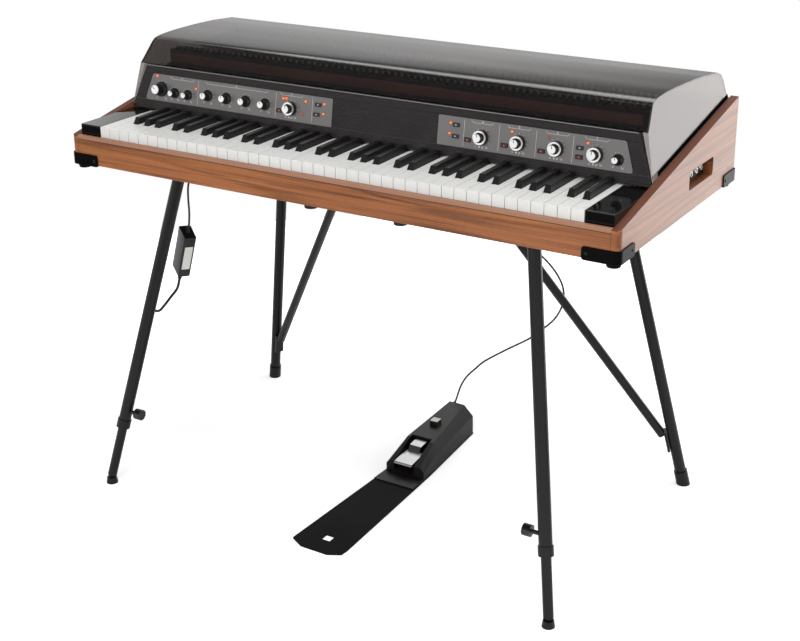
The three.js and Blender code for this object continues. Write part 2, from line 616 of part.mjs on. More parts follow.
// The lid is a clear shell: a profile carried across, cut by sloping ends and hollowed.
function lidProfile(inset) {
  const shape = new THREE.Shape();
  const front = panel.front + 1 + inset * 0.4;
  const panelTop = keyTop + panel.bottomRise + panel.height * Math.cos(leanBack) + lid.panelGap;
  const panelTopDepth = panel.front + panel.height * Math.sin(leanBack) + inset;
  shape.moveTo(front, keyTop - 20);
  shape.lineTo(front, keyTop + panel.bottomRise);
  shape.lineTo(panelTopDepth, panelTop);
  shape.lineTo(lid.creaseDepth + inset * 0.6, keyTop + lid.creaseRise - inset);
  shape.splineThru([
    ...lidCrown.map(([y, rise]) => new THREE.Vector2(y, keyTop + rise - inset)),
    new THREE.Vector2(lid.rearDepth - lid.cornerRadius, keyTop + lid.rearRise + 2 - inset),
  ]);
  shape.quadraticCurveTo(lid.rearDepth + 5 - inset, keyTop + lid.rearRise - 2 - inset * 0.6,
    lid.rearDepth + 7 - inset, keyTop + lid.rearRise - lid.cornerRadius);
  shape.lineTo(lid.rearBottom - inset, keyTop + lid.rim - 20);
  shape.lineTo(lid.rearBottom - inset, keyTop - 20);
  shape.closePath();
  return shape;
}
function lidSolid(inset) {
  const slab = acrossX(lidProfile(inset), -beyond, beyond, 2);
  const slope = lid.topInset / lid.creaseRise;
  const lowHalf = lidLowHalf - inset;
  const top = lid.creaseRise + lid.cornerRadius;
  const topHalf = lowHalf - slope * top;
  const ends = alongY(outlineOf([
    [-lowHalf, keyTop - 30], [lowHalf, keyTop - 30], [lowHalf, keyTop], [topHalf, keyTop + top],
    [-topHalf, keyTop + top], [-lowHalf, keyTop],
  ]), 0, beyond);
  return slab.intersect(ends);
}
// What the lid stands on: the sloping cleats at its sides and the top of the back panel.
const lidSeatAt = y => sideTopAt(y) - lidCleat.drop + seam;
const lidSeat = acrossX(outlineOf([
  [0, caseBottom], [beyond, caseBottom], [beyond, keyTop + lid.rim], [boardBackInner - 1, keyTop + lid.rim],
  [boardBackInner - 1, lidSeatAt(boardBackInner - 1)], [0, lidSeatAt(0)],
]), -beyond, beyond);
const windowTop = keyTop + panel.bottomRise + panel.height * Math.cos(leanBack) + lid.panelGap;
const windowLow = panelLowHalf + 2 * seam;
const windowHigh = panelTopHalf + 6;
const panelWindow = alongY(outlineOf([
  [-windowLow, caseBottom], [windowLow, caseBottom], [windowLow, keyTop + 2],
  [windowHigh, windowTop], [-windowHigh, windowTop], [-windowLow, keyTop + 2],
]), 0, panel.front + panel.height * Math.sin(leanBack) + panel.thickness + 6);
const lidShell = lidSolid(0).subtract(lidSolid(lid.wall)).subtract(lidSeat).subtract(panelWindow);
addPiece('lid', lidShell, smokedLid());

// The harp under the lid: a tone bar for each note, on two rails with posts at their ends. The rear
// rail runs forward from the bass to the treble, so the bars grow shorter.
function harpBody() {
  const top = keyTop + harp.barTop;
  const barLow = top - harp.barHeight;
  const { half: harpHalf, bassLength, trebleLength } = harp;
  const pitch = 2 * harpHalf / harp.noteCount;
  const lengthAt = x => THREE.MathUtils.mapLinear(x, -harpHalf, harpHalf, bassLength, trebleLength);
  const bodies = [];
  for (let note = 0; note < harp.noteCount; note++) {
    const x = -harpHalf + (note + 0.5) * pitch;
    const half = harp.barWidth / 2;
    bodies.push(block(x - half, x + half, harp.front, harp.front + lengthAt(x), barLow, top));
  }
  const end = harpHalf + harp.postWidth;
  const railLow = barLow - harp.railHeight;
  const railFront = harp.front + 2;
  bodies.push(block(-end, end, railFront, railFront + harp.railDepth, railLow, barLow + 0.5));
  const bassRear = harp.front + bassLength;
  const trebleRear = harp.front + trebleLength;
  bodies.push(raised(outlineOf([
    [-end, bassRear - harp.railDepth], [end, trebleRear - harp.railDepth],
    [end, trebleRear], [-end, bassRear],
  ]), barLow - 14, barLow + 0.5));
  for (const [x0, x1, rear] of [[-end, -harpHalf, bassRear], [harpHalf, end, trebleRear]]) {
    bodies.push(block(x0, x1, railFront, railFront + harp.railDepth, baseTop + seam, barLow));
    bodies.push(block(x0, x1, rear - harp.railDepth, rear - 1, baseTop + seam, barLow));
  }
  return join(bodies);
}
addPiece('harp', harpBody(), blackMetal());

// Stand. A leg is a straight line from its flange to its foot.
const legPoint = (top, bottom, side, z) => {
  const t = (caseBottom - z) / caseBottom;
  return [side * (top.x + (bottom.x - top.x) * t), top.y + (bottom.y - top.y) * t, z];
};
const belowCase = block(-beyond, beyond, -beyond, beyond, 0, caseBottom - seam);
function flangeAt(x, y, radius, thickness) {
  return rod([x, y, caseBottom - seam - thickness], [x, y, caseBottom - seam], radius, 24);
}

function frontLeg(side) {
  const at = z => legPoint(frontLegTop, frontLegFoot, side, z);
  const tube = rod(at(collar.low), at(caseBottom + 20), upperTubeRadius, 20);
  const ring = rod(at(collar.low), at(collar.high), collar.radius, 20);
  const bore = rod(at(collar.low - 20), at(collar.low + boreDepth), upperTubeBore, 16);
  const [x, y, z] = at(clampHeight);
  const screwHole = rod([x, y, z], [x - side * 40, y, z], clampKnob.stemRadius + seam, 12);
  const flange = flangeAt(side * frontLegTop.x, frontLegTop.y, legFlange.radius, legFlange.thickness);
  const body = tube.add(ring).subtract(bore).subtract(screwHole).intersect(belowCase).add(flange);
  return side < 0 ? body.add(join(mainsClips.zs.map(mainsClip))) : body;
}

// A clip on the left leg is a ring round the mains lead.
function mainsClip(z) {
  const index = mainsLeadPoints.findIndex(point => point[2] === z);
  const [before, at, after] = [index - 1, index, index + 1].map(i => {
    const [x, y, rise] = mainsLeadPoints[i];
    return new THREE.Vector3(x, y, keyTop + rise);
  });
  const along = after.clone().sub(before).normalize();
  const end = distance => at.clone().addScaledVector(along, distance).toArray();
  const half = mainsClips.width / 2;
  const bore = mainsLead.radius + mainsClips.room;
  const ring = rod(end(-half), end(half), bore + mainsClips.wall, 14);
  return ring.subtract(rod(end(-half - 1), end(half + 1), bore, 14));
}

function lowerLeg(side) {
  const at = z => legPoint(frontLegTop, frontLegFoot, side, z);
  const [footX, footY] = at(foot.height);
  const pad = rod([footX, footY, 0], [footX, footY, foot.height], foot.radius, 20, foot.radius - 2);
  const nutTop = foot.height + foot.nutHeight;
  const nut = rod([footX, footY, foot.height - 1], [footX, footY, nutTop], foot.nutRadius, 6);
  const tube = rod(at(nutTop - 3), at(collar.high + lowerTubeInside), lowerTubeRadius, 16);
  return pad.add(nut).add(tube);
}

// The clamp knob's screw reaches through the tube wall to the lower tube.
function clampBody(side) {
  const [x, y, z] = legPoint(frontLegTop, frontLegFoot, side, clampHeight);
  const inward = -side;
  const tip = x + inward * (lowerTubeRadius + seam + 0.4);
  const neck = tip + inward * clampKnob.stemLength;
  return rod([tip, y, z], [neck + inward, y, z], clampKnob.stemRadius, 12)
    .add(rod([neck, y, z], [neck + inward * clampKnob.headLength, y, z], clampKnob.headRadius, 18));
}

function rearLeg(side) {
  const at = z => legPoint(rearLegTop, rearLegFoot, side, z);
  const tube = rod(at(4), at(caseBottom + 20), rearTubeRadius, 20);
  const sleeve = rod(at(-20), at(boot.height), boot.radius, 20);
  const flange = flangeAt(side * rearLegTop.x, rearLegTop.y, legFlange.radius, legFlange.thickness);
  return tube.add(sleeve).intersect(belowCase).add(flange);
}

// A brace runs from the middle of the base to the foot of a rear leg. Its end is pressed flat and lies
// against the inner side of the leg.
function brace(side) {
  const top = new THREE.Vector3(side * braceTop.x, braceTop.y, caseBottom);
  const leg = new THREE.Vector3(...legPoint(rearLegTop, rearLegFoot, side, braceJoint));
  const legTop = new THREE.Vector3(side * rearLegTop.x, rearLegTop.y, caseBottom);
  const legAxis = leg.clone().sub(legTop).normalize();
  const towards = top.clone().sub(leg);
  const away = towards.addScaledVector(legAxis, -towards.dot(legAxis)).normalize();
  const end = leg.clone().addScaledVector(away, rearTubeRadius + seam + braceTab.thickness / 2);
  const along = end.clone().sub(top);
  along.addScaledVector(away, -along.dot(away)).normalize();
  const tabStart = end.clone().addScaledVector(along, -braceTab.length * 0.72);
  const tubeEnd = tabStart.clone().addScaledVector(away, braceRadius - braceTab.thickness / 2 - 0.5);
  const tube = rod(top.toArray(), tubeEnd.toArray(), braceRadius, 16);
  const basis = new THREE.Matrix4().makeBasis(new THREE.Vector3().crossVectors(away, along), away, along);
  const geometry = new THREE.BoxGeometry(braceTab.width, braceTab.thickness, braceTab.length);
  geometry.applyMatrix4(basis.setPosition(end.clone().addScaledVector(along, -braceTab.length * 0.4)));
  const plate = flangeAt(side * braceTop.x, braceTop.y, bracePlate.radius, bracePlate.thickness);
  return tube.intersect(belowCase).add(solid(geometry)).add(plate);
}
for (const [word, side] of [['left', -1], ['right', 1]]) {
  addPiece(`front_${word}_leg`, frontLeg(side), blackMetal());
  addPiece(`front_${word}_leg_extension`, lowerLeg(side), blackMetal());
  addPiece(`${word}_clamp_knob`, clampBody(side), blackPlastic());
  addPiece(`rear_${word}_leg`, rearLeg(side), blackMetal());
  addPiece(`${word}_brace`, brace(side), blackMetal());
}

// Pedal: a long plate that narrows to the back, with a ridged housing over its rear half.
function pedalEdge(y, side) {
  const next = Math.max(1, pedalPlan.findIndex(([depth]) => depth >= y));
  const [y0, x0, half0] = pedalPlan[next - 1];
  const [y1, x1, half1] = pedalPlan[next];
  const share = (y - y0) / (y1 - y0);
  return x0 + (x1 - x0) * share + side * (half0 + (half1 - half0) * share);
}
function pedalBase() {
  const { back, plate: sole, lipFront, lipHeight, slotHalf, slotBack, roofFront, roofLow } = pedal;
  const { x: holeX, y: holeY, half: holeHalf } = pedalHole;
  const bend = pedalPlan[1][0];
  const mat = raised(outlineOf([
    ...pedalTip, [pedalEdge(bend, 1), bend], [pedalEdge(back, 1), back],
    [pedalEdge(back, -1), back], [pedalEdge(bend, -1), bend],
  ]), 0, sole);
  const hole = block(holeX - holeHalf, holeX + holeHalf, holeY - holeHalf, holeY + holeHalf, -1, sole + 1);
  const shell = loft(pedalSections.map(({ y, top, side, left, right }) => {
    const outerLeft = pedalEdge(y, -1) + 0.5;
    const outerRight = pedalEdge(y, 1) - 0.5;
    return [[outerLeft, y, 0.5], [outerRight, y, 0.5], [outerRight, y, side], [right, y, top],
      [left, y, top], [outerLeft, y, side]];
  }));
  const shellFront = pedalSections[0].y;
  const lip = raised(outlineOf([
    [pedalEdge(lipFront, -1) + 1, lipFront], [pedalEdge(lipFront, 1) - 1, lipFront],
    [pedalEdge(shellFront, 1) - 1, shellFront + 5], [pedalEdge(shellFront, -1) + 1, shellFront + 5],
  ]), 1, sole + lipHeight);
  const slotLeft = lever.x - slotHalf;
  const slotRight = lever.x + slotHalf;
  const slotTop = 2 * roofLow;
  const roof = block(slotLeft, slotRight, roofFront, slotBack + 1, roofLow, slotTop);
  const gap = block(slotLeft, slotRight, shellFront - 10, slotBack, sole + lipHeight + 1, slotTop);
  const pin = rod([slotLeft - 4, leverPivot.y, leverPivot.z], [slotRight + 4, leverPivot.y, leverPivot.z],
    leverPivot.radius, 12);
  const { x: postX, y: postY, half: postHalf, low, high } = pedalPost;
  const post = block(postX - postHalf, postX + postHalf, postY - postHalf, postY + postHalf, low, high);
  const gland = rod(pedalGland.from, pedalGland.to, pedalGland.radius, 12, pedalGland.tipRadius);
  return mat.subtract(hole).add(shell).add(lip).subtract(gap.subtract(roof)).add(pin).add(post).add(gland);
}

// A closed body through a row of sections that have the same number of points.
function loft(sections) {
  const count = sections[0].length;
  const points = sections.flat();
  const faces = [];
  for (let s = 0; s + 1 < sections.length; s++) {
    for (let i = 0; i < count; i++) {
      const j = (i + 1) % count;
      const a = s * count + i;
      const b = s * count + j;
      faces.push([a, b, b + count], [a, b + count, a + count]);
    }
  }
  const last = (sections.length - 1) * count;
  for (let i = 1; i + 1 < count; i++) {
    faces.push([0, i + 1, i], [last, last + i, last + i + 1]);
  }
  return closedBody(points, faces);
}

// Points and triangles as a solid.
function closedBody(points, faces) {
  const geometry = new THREE.BufferGeometry();
  geometry.setAttribute('position', new THREE.Float32BufferAttribute(points.flat(), 3));
  geometry.setIndex(faces.flat());
  return solid(geometry);
}
addPiece('pedal_base', pedalBase(), blackPlastic());

// The lever: a toe plate, a step and a neck that hangs on the pin.
function leverBody() {
  const { x, front, back, half, tip, thickness, toeLength, stepRise, neckHalf } = lever;
  const { y: pivotY, z: pivotZ, radius } = leverPivot;
  const step = front + toeLength;
  const toe = acrossX(roundedOutline([
    [front, tip - 6, 3], [step, tip - 2], [step, tip + thickness], [front + 4, tip, 2],
  ]), x - half, x + half);
  const neck = acrossX(roundedOutline([
    [step - 6, tip - 2], [step + 10, tip - 2], [back + 4, pivotZ - 7], [back + 4, pivotZ + 5, 2],
    [step + 22, tip + stepRise + 2, 3], [step + 2, tip + stepRise, 3], [step - 6, tip + thickness],
  ]), x - neckHalf, x + neckHalf);
  const eye = rod([x - 2 * half, pivotY, pivotZ], [x + 2 * half, pivotY, pivotZ], radius + seam, 12);
  return toe.add(neck).subtract(eye);
}
addPiece('pedal_lever', leverBody(), chrome());

// A tube along a smooth curve through hand-placed points, with z measured from the key tops.
function cordTube(points, { radius, sides, steps }) {
  const places = points.map(([x, y, z]) => new THREE.Vector3(x, y, keyTop + z));
  const curve = new THREE.CatmullRomCurve3(places, false, 'centripetal');
  const ring = [...Array(sides).keys()].map(i => {
    const angle = 2 * Math.PI * i / sides;
    return [radius * Math.cos(angle), radius * Math.sin(angle)];
  });
  const tube = new THREE.ExtrudeGeometry(outlineOf(ring), { steps, extrudePath: curve, bevelEnabled: false });
  return { body: solid(tube), length: curve.getLength() };
}

function brickBody() {
  const [flat, wide, long] = powerBrick.size;
  const e = powerBrick.edge;
  const geometry = new THREE.ExtrudeGeometry(roundedOutline([
    [-flat / 2, -wide / 2, e], [flat / 2, -wide / 2, e], [flat / 2, wide / 2, e], [-flat / 2, wide / 2, e],
  ]), { depth: long, bevelEnabled: false, curveSegments: 2 });
  geometry.translate(0, 0, -long / 2);
  geometry.applyMatrix4(new THREE.Matrix4().makeBasis(brickFlat, brickWide, brickLong)
    .setPosition(...powerBrick.centre));
  const relief = rod(brickAt(long / 2 - 1), brickAt(dcExit), dcRelief.baseRadius, 12, dcRelief.tipRadius);
  const connector = rod(brickAt(1 - long / 2), brickAt(-mainsExit), inlet.radius, 12, inlet.tipRadius);
  return solid(geometry).add(relief).add(connector).translate([0, 0, keyTop]);
}
addPiece('power_brick', brickBody(), blackPlastic());

const dcTube = cordTube(dcLeadPoints, dcLead);
addPiece('dc_lead', dcTube.body, blackCable());
const mainsTube = cordTube(mainsLeadPoints, mainsLead);
addPiece('mains_lead', mainsTube.body, blackCable());
const pedalTube = cordTube(pedalLeadPoints, pedalLead);
addPiece('pedal_lead', pedalTube.body, blackCable());

// The rest of the mains lead is a flat coil of two layers under the base board. It spirals inwards in
// the upper layer, sinks to the lower one in the half turn where it reverses, and spirals out again.
function coilPath() {
  const { turnsPerLayer, firstRadius, pitch, layerStep, stepsPerTurn } = mainsCoil;
  const [startX, , startZ] = mainsLeadPoints.at(-1);
  const middle = turnsPerLayer + 0.25;
  const outerRadius = firstRadius + pitch * middle;
  const points = [];
  for (let i = 0; i <= stepsPerTurn * 2 * middle; i++) {
    const turns = i / stepsPerTurn;
    const radius = firstRadius + pitch * Math.abs(turns - middle);
    const sunk = THREE.MathUtils.smoothstep(turns, turnsPerLayer, turnsPerLayer + 0.5);
    const angle = Math.PI - 2 * Math.PI * turns;
    const x = startX + outerRadius + radius * Math.cos(angle);
    const y = mainsCoil.y + radius * Math.sin(angle);
    points.push(new THREE.Vector3(x, y, keyTop + startZ - layerStep * sunk));
  }
  return points;
}

// A tube through given points, closed at both ends.
function pointTube(points, radius, sides) {
  const rings = points.map((point, index) => {
    const before = points[Math.max(index - 1, 0)];
    const after = points[Math.min(index + 1, points.length - 1)];
    const along = after.clone().sub(before).normalize();
    const across = new THREE.Vector3().crossVectors(along, new THREE.Vector3(0, 0, 1)).normalize();
    const up = new THREE.Vector3().crossVectors(across, along);
    return [...Array(sides).keys()].map(side => {
      const angle = 2 * Math.PI * (side + 0.5) / sides;
      const corner = point.clone().addScaledVector(across, radius * Math.cos(angle));
      return corner.addScaledVector(up, radius * Math.sin(angle)).toArray();
    });
  });
  return loft(rings);
}

// The least distance between turns that aren't neighbours along the tube, less its diameter.
function leastSelfGap(points, radius, skip) {
  let least = Infinity;
  for (let i = 0; i < points.length; i++) {
    for (let j = i + skip; j < points.length; j++) {
      least = Math.min(least, points[i].distanceTo(points[j]));
    }
  }
  return least - 2 * radius;
}
const coilPoints = coilPath();
const coilStart = coilPoints[0].clone().setY(mainsLeadPoints.at(-1)[1] + seam);
const coilEnd = coilPoints.at(-1);
const plugY = mainsPlug.y;
const tail = coilEnd.clone().setY(plugY + seam);
const mainsPath = [coilStart, ...coilPoints, tail];
addPiece('mains_coil', pointTube(mainsPath, mainsLead.radius, 6), blackCable());

// The plug at the end of the coil points towards the front.
function plugBody() {
  const { bodyRadius, bodyLength, pinRadius, pinLength, pinSpacing } = mainsPlug;
  const x = coilEnd.x;
  const z = coilEnd.z - bodyRadius + mainsLead.radius + 1;
  const front = plugY - bodyLength;
  const relief = rod([x, plugY, coilEnd.z], [x, plugY - 12, coilEnd.z], 4.2, 12, 6);
  const body = rod([x, plugY - 10, z], [x, front, z], bodyRadius, 18);
  const pins = [-1, 1].map(side => {
    const pinX = x + side * pinSpacing / 2;
    return rod([pinX, front + 1, z], [pinX, front - pinLength, z], pinRadius, 8);
  });
  return join([relief, body, ...pins]);
}
addPiece('mains_plug', plugBody(), blackPlastic());

let coilLength = 0;
for (let i = 1; i < mainsPath.length; i++) coilLength += mainsPath[i].distanceTo(mainsPath[i - 1]);
console.log('dc lead', dcTube.length.toFixed(0), 'mains lead', (mainsTube.length + coilLength).toFixed(0),
  'pedal lead', pedalTube.length.toFixed(0));
const coilGap = leastSelfGap(mainsPath, mainsLead.radius, 12);
console.log('least gap between the turns of the coil', coilGap.toFixed(2));

// The origin is on the floor, under the middle of the whole piano.
const middle = new THREE.Box3().setFromObject(group).getCenter(new THREE.Vector3());
group.position.y = -middle.y;
console.log('keyboard front at y', group.position.y.toFixed(2));

export default group;
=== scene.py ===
"""Dresses an electric piano on its stand, with its pedal and power supply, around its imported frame.

Places are written in millimetres in the keyboard's own frame: x to the player's right from the middle of
the keyboard, y away from the player from the front edge of the white keys, and z up from the key tops.
"""

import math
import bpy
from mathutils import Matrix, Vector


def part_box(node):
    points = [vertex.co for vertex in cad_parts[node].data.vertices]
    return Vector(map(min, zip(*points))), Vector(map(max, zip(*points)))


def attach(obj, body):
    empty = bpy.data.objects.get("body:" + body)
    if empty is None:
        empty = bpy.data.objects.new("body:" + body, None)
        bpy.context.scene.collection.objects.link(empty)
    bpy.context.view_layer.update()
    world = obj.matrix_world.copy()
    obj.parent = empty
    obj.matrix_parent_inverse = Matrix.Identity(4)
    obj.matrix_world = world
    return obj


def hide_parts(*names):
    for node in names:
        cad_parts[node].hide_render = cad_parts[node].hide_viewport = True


bl_info = {
    "name": "Electric piano",
    "version": (1, 0, 0),
    "blender": (4, 5, 0),
    "location": "3D View > Sidebar > Piano",
    "description": "Builds the finished pieces of an electric piano on its stand",
    "category": "Add Mesh",
}

import bmesh
import bpy
import numpy as np
from mathutils import Matrix

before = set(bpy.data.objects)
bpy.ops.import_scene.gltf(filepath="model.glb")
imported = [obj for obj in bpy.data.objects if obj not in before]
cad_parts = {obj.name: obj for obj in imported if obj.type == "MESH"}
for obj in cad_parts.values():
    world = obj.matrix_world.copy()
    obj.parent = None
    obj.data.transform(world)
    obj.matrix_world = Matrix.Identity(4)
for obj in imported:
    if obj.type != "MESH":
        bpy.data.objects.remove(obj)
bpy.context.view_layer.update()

key_low, key_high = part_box("key_C")
ORIGIN = np.array([0.0, key_low.y, key_high.z])
FLOOR = -ORIGIN[2] * 1000

# Keyboard, in millimetres.
KEY_PITCH = 23.5
WHITE_COUNT = 43
HALF_FIELD = WHITE_COUNT * KEY_PITCH / 2
KEY_GAP = 0.9
WHITE_THICKNESS = 18
HEAD_LENGTH = 50
BLACK_LENGTH = 95
BLACK_WIDTH = 13.5
BLACK_TOP = 10
BLACK_HEIGHT = 12
BLACK_SLOPE = 8
CLEARANCE = 0.9
KEY_LENGTH = 252
STICK_WIDTH = 11
PIVOT_DEPTH = 236
KEY_LIP = 20.6
# White keys count from the lowest E. A black key has the number of the white key to its right.
MOVING_WHITES = {19: "key_C", 20: "key_D", 21: "key_E", 22: "key_F", 23: "key_G"}
MOVING_BLACKS = {20: "key_C_sharp", 21: "key_D_sharp"}
# How far black keys stand to the right of the edge under them, by the rest of their number over seven.
BLACK_SHIFT = {2: -2.6, 3: 0, 4: 2.6, 6: -2.2, 0: 2.2}

# Control panel. Its own frame has x across, y up the slope and z out of the face.
PANEL_FRONT = 151
PANEL_RISE = 2.5
PANEL_HEIGHT = 87
PANEL_LOW_HALF = 555
PANEL_TOP_HALF = 524
LEAN = math.radians(9.2)
PLATE_FACE = 1.9
PLATE_LOW = 18.5
PLATE_HIGH = 71
PLATE_LOW_HALF, PLATE_HIGH_HALF = 521.4, 503.9
PLATE_INNER_ENDS = -75.3, 149.1
KNOB_BASE = 2.2
KNOB_KINDS = {
    "volume": {"radius": 14.5, "skirt": 5, "cap": 9.5, "height": 21, "flutes": 0.5, "ring": False},
    "small": {"radius": 9.8, "skirt": 4, "cap": 6, "height": 16, "flutes": 0.25, "ring": False},
    "tone": {"radius": 11, "skirt": 4, "cap": 7, "height": 17, "flutes": 0.3, "ring": False},
    "effect": {"radius": 13.3, "skirt": 9, "cap": 7.8, "height": 19, "flutes": 0.3, "ring": True},
}
# Each knob's node and kind, its x and its height over the key tops, and the angle that its line points at.
KNOBS = [
    ("volume_knob", "volume", -481, 44, 140), ("bass_knob", "small", -447, 40, 60),
    ("treble_knob", "small", -414.5, 40, 60), ("tone_knob_1", "tone", -365.5, 44.5, 110),
    ("tone_knob_2", "tone", -320, 44.5, 110), ("tone_knob_3", "tone", -274, 44.5, 110),
    ("tone_knob_4", "tone", -228, 44.5, 110), ("drive_knob", "effect", -168.5, 43.5, 90),
    ("effect_knob_1", "effect", 237, 43, 90), ("effect_knob_2", "effect", 308.5, 43, 90),
    ("effect_knob_3", "effect", 380, 43, 90), ("effect_knob_4", "effect", 452, 43, 90),
    ("output_knob", "small", 492.5, 40, 90),
]
BUTTONS = [
    ("drive_button", -194, 37), ("effect_button_1", 210, 35.6), ("effect_button_2", 282, 35.4),
    ("effect_button_3", 352.5, 35.2), ("effect_button_4", 422.5, 34.8),
]
# The x and the height of the buttons that don't travel, and of the lit and the dim lamps.
SELECTORS = [(-106.7, 57.9), (-109.5, 39.7), (185.6, 58.4), (185.7, 38.6), (422.7, 50.2)]
BUTTON_SIZE = (13.5, 7.4)
LIT = [
    (-493, 68.6), (-394.7, 54.1), (-186, 60.7), (-179, 61.2), (-135, 60.9), (-92.7, 60.8), (-94.4, 42.6),
    (174.5, 60.6), (173.6, 42.4), (295, 60.6), (436.5, 60.2),
]
DIM = [(-139.7, 36.8), (365, 59.6)]
# The x of the dividing lines, and the middle and width of each numbered section.
DIVIDERS = [-390, -203, -120, 201.6, 270.5, 341.2, 410]
SECTIONS = [(-430, 60), (-297, 150), (-168, 52), (237, 44), (308, 44), (380, 44), (452, 44)]

# Case and lid.
CASE_FRONT, CASE_BACK = -11, 513
SIDE_FRONT_TOP, SIDE_BACK_TOP = -21.5, 80
# The lid's ends stand in by the inset at the rise of its crease. In its finish they lean in from a fold a
# little below the side panels' top line.
LID_INSET, LID_RISE, LID_CREASE = 24.25, 132.3, 199
LID_FRONT, LID_BACK = 176, 500
LID_FOLD = 3
LID_FOOT = (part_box("lid")[0].z - ORIGIN[2]) * 1000
LID_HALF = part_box("lid")[1].x * 1000 + LID_INSET / LID_RISE * LID_FOOT
HARP_NOTES, HARP_HALF, HARP_FRONT, HARP_TOP = 73, 506, 231, 111
HARP_BASS, HARP_TREBLE = 205, 70

# Leads: places listed along each route.
PEDAL_LEAD = [
    (-9, 503.4, -669.1), (-9, 506.7, -666.6), (-8.5, 510.6, -660.5), (-5, 512.3, -647), (3.1, 510.5, -627),
    (19, 506, -602), (41.7, 502, -577), (62, 499, -556), (118, 497, -514), (173, 495, -475),
    (204, 494, -446), (227, 493, -421), (241, 492, -396), (248, 490, -369), (246, 488, -345),
    (236, 486, -323), (218, 484, -301), (194, 482, -281), (164, 480, -259), (132, 478, -231),
    (108, 475, -198), (95, 472, -160), (90, 470, -125), (90, 470, -95.8),
]
BRICK_CENTRE = np.array([-401.8, 100, -264.8])
BRICK_SIZE = (24.5, 41, 97)
BRICK_LONG = np.array([0.345, -0.119, 0.931])
BRICK_FLAT = np.array([0.519, 0.851, -0.084])
DC_RELIEF = 14
MAINS_RELIEF = 21
DC_LEAD = [
    (-376.2, 92.3, -176), (-378.5, 94.5, -150), (-379, 97, -126), (-377, 103, -106), (-372, 116, -90),
    (-362, 134, -81.5), (-345, 150, -79), (-310, 163, -78.6), (-250, 172, -78.6), (-180, 178, -78.6),
    (-100, 182, -78.6), (-20, 187, -78.6), (60, 196, -78.6), (140, 214, -78.6), (230, 236, -78.6),
    (320, 256, -78.6), (405, 276, -78.6), (452, 296, -78.8), (469, 328, -79.4), (470, 359.7, -80),
]
MAINS_LEAD = [
    (-433, 107, -353), (-439.5, 93, -368.5), (-440, 74, -379), (-438, 54, -384), (-437.6, 38.5, -376),
    (-436.4, 33.3, -358), (-431.8, 39, -331), (-426.9, 45, -304), (-421.5, 51.5, -274),
    (-415.6, 58.6, -241), (-409.8, 65.7, -208.5), (-403.5, 73.2, -174), (-397.8, 80.5, -143),
    (-396.5, 88.5, -118), (-399, 103, -99), (-401.5, 124, -86.5), (-402.5, 146, -80.6),
    (-403, 171, -79), (-403, 192.7, -79),
]
COIL_Y = 213
COIL_TURNS = 3
COIL_RADIUS = 22
COIL_PITCH = 6.1
COIL_STEP = 6.1
PLUG_Y = 188
PLUG_RADIUS = 12
THIN_LEAD, MAINS_THICK = 2, 2.75

# Pedal: the middle, the height and half the width of the plain plate on its post, and the mat's rear edge.
PEDAL_BADGE = 4, 397, FLOOR + 69, 8.4
MAT_BACK = 216


def linear(code):
    """An sRGB colour, written as six hex digits, in the linear values that shaders take."""
    levels = np.array([int(code[i:i + 2], 16) for i in (0, 2, 4)]) / 255
    levels = np.where(levels <= 0.04045, levels / 12.92, ((levels + 0.055) / 1.055) ** 2.4)
    return (*levels.tolist(), 1.0)


def darker(tone, share):
    """A linear colour with its levels cut to a share."""
    return (*(share * level for level in tone[:3]), 1.0)


def colour(name, description, code):
    """A colour setting of the add-on, whose default is an sRGB hex value."""
    return bpy.props.FloatVectorProperty(name=name, description=description, default=linear(code), size=4,
                                         subtype="COLOR", min=0, max=1)


def length(name, description, millimetres):
    """A length setting of the add-on, whose default is given in millimetres."""
    return bpy.props.FloatProperty(name=name, description=description, default=millimetres / 1000,
                                   unit="LENGTH", precision=5)


class PianoColours(bpy.types.PropertyGroup):
    """The colours of the finishes."""

    wood_light: colour("Light wood", "The pale bands of the walnut", "aa6d41")
    wood_middle: colour("Middle wood", "The ground colour of the walnut", "8c5635")
    wood_dark: colour("Dark wood", "The dark streaks of the walnut", "5a3723")
    # The top edges' walnut is darker than the veneer: painted shade.
    wood_edge: colour("Solid wood", "The solid top edges of the side panels", "5e3626")
    rail_edge: colour("Rail edge", "The rounded top edge of the front rail", "9a7058")
    white_key: colour("White keys", "The natural keys", "dfdfdc")
    black_key: colour("Black keys", "The sharp keys", "161515")
    gloss_black: colour("Gloss black", "The blocks at the ends of the keys", "0b0b0c")
    vinyl: colour("Panel vinyl", "The ribbed cover of the control panel", "252223")
    plate: colour("Control plates", "The two plates under the knobs", "716f6e")
    print_white: colour("Print", "Scale marks and numbers", "d9d7d2")
    plastic: colour("Knob black", "Knobs and buttons", "131313")
    aluminium: colour("Knob caps", "The caps of the knobs", "f0f0f0")
    lamp: colour("Lamps", "The lit indicator lamps", "ff4a12")
    acrylic: colour("Smoked lid", "What the lid lets through", "8f8c8a")
    # The lid's ends are paler than the rest of the lid: painted light for the reflection on them.
    lid_end: colour("Lid ends", "The lid's ends, paler as painted light", "bfb7b4")
    steel_black: colour("Black steel", "The stand and the corners", "0b0b0c")
    pedal_black: colour("Pedal black", "The housing of the pedal", "171514")
    chrome: colour("Chrome", "The pedal lever", "9a9a9a")
    cable: colour("Cable", "The leads", "0e0e0e")
    floor: colour("Floor", "The floor of the studio", "f4f4f4")


class PianoSizes(bpy.types.PropertyGroup):
    """The sizes of edges and small details."""

    wood_edge: length("Wood edge", "Rounding of the walnut's edges", 1.2)
    key_edge: length("Key edge", "Rounding of the key edges", 0.7)
    metal_edge: length("Metal edge", "Rounding of metal edges", 0.6)
    gloss_edge: length("Gloss edge", "Bevel on the glossy blocks", 1.1)
    rib_pitch: length("Rib pitch", "Distance between the ribs of the panel", 4.3)
    rib_height: length("Rib height", "Height of the ribs of the panel", 0.75)
    print_width: length("Print width", "Width of the printed lines", 0.45)


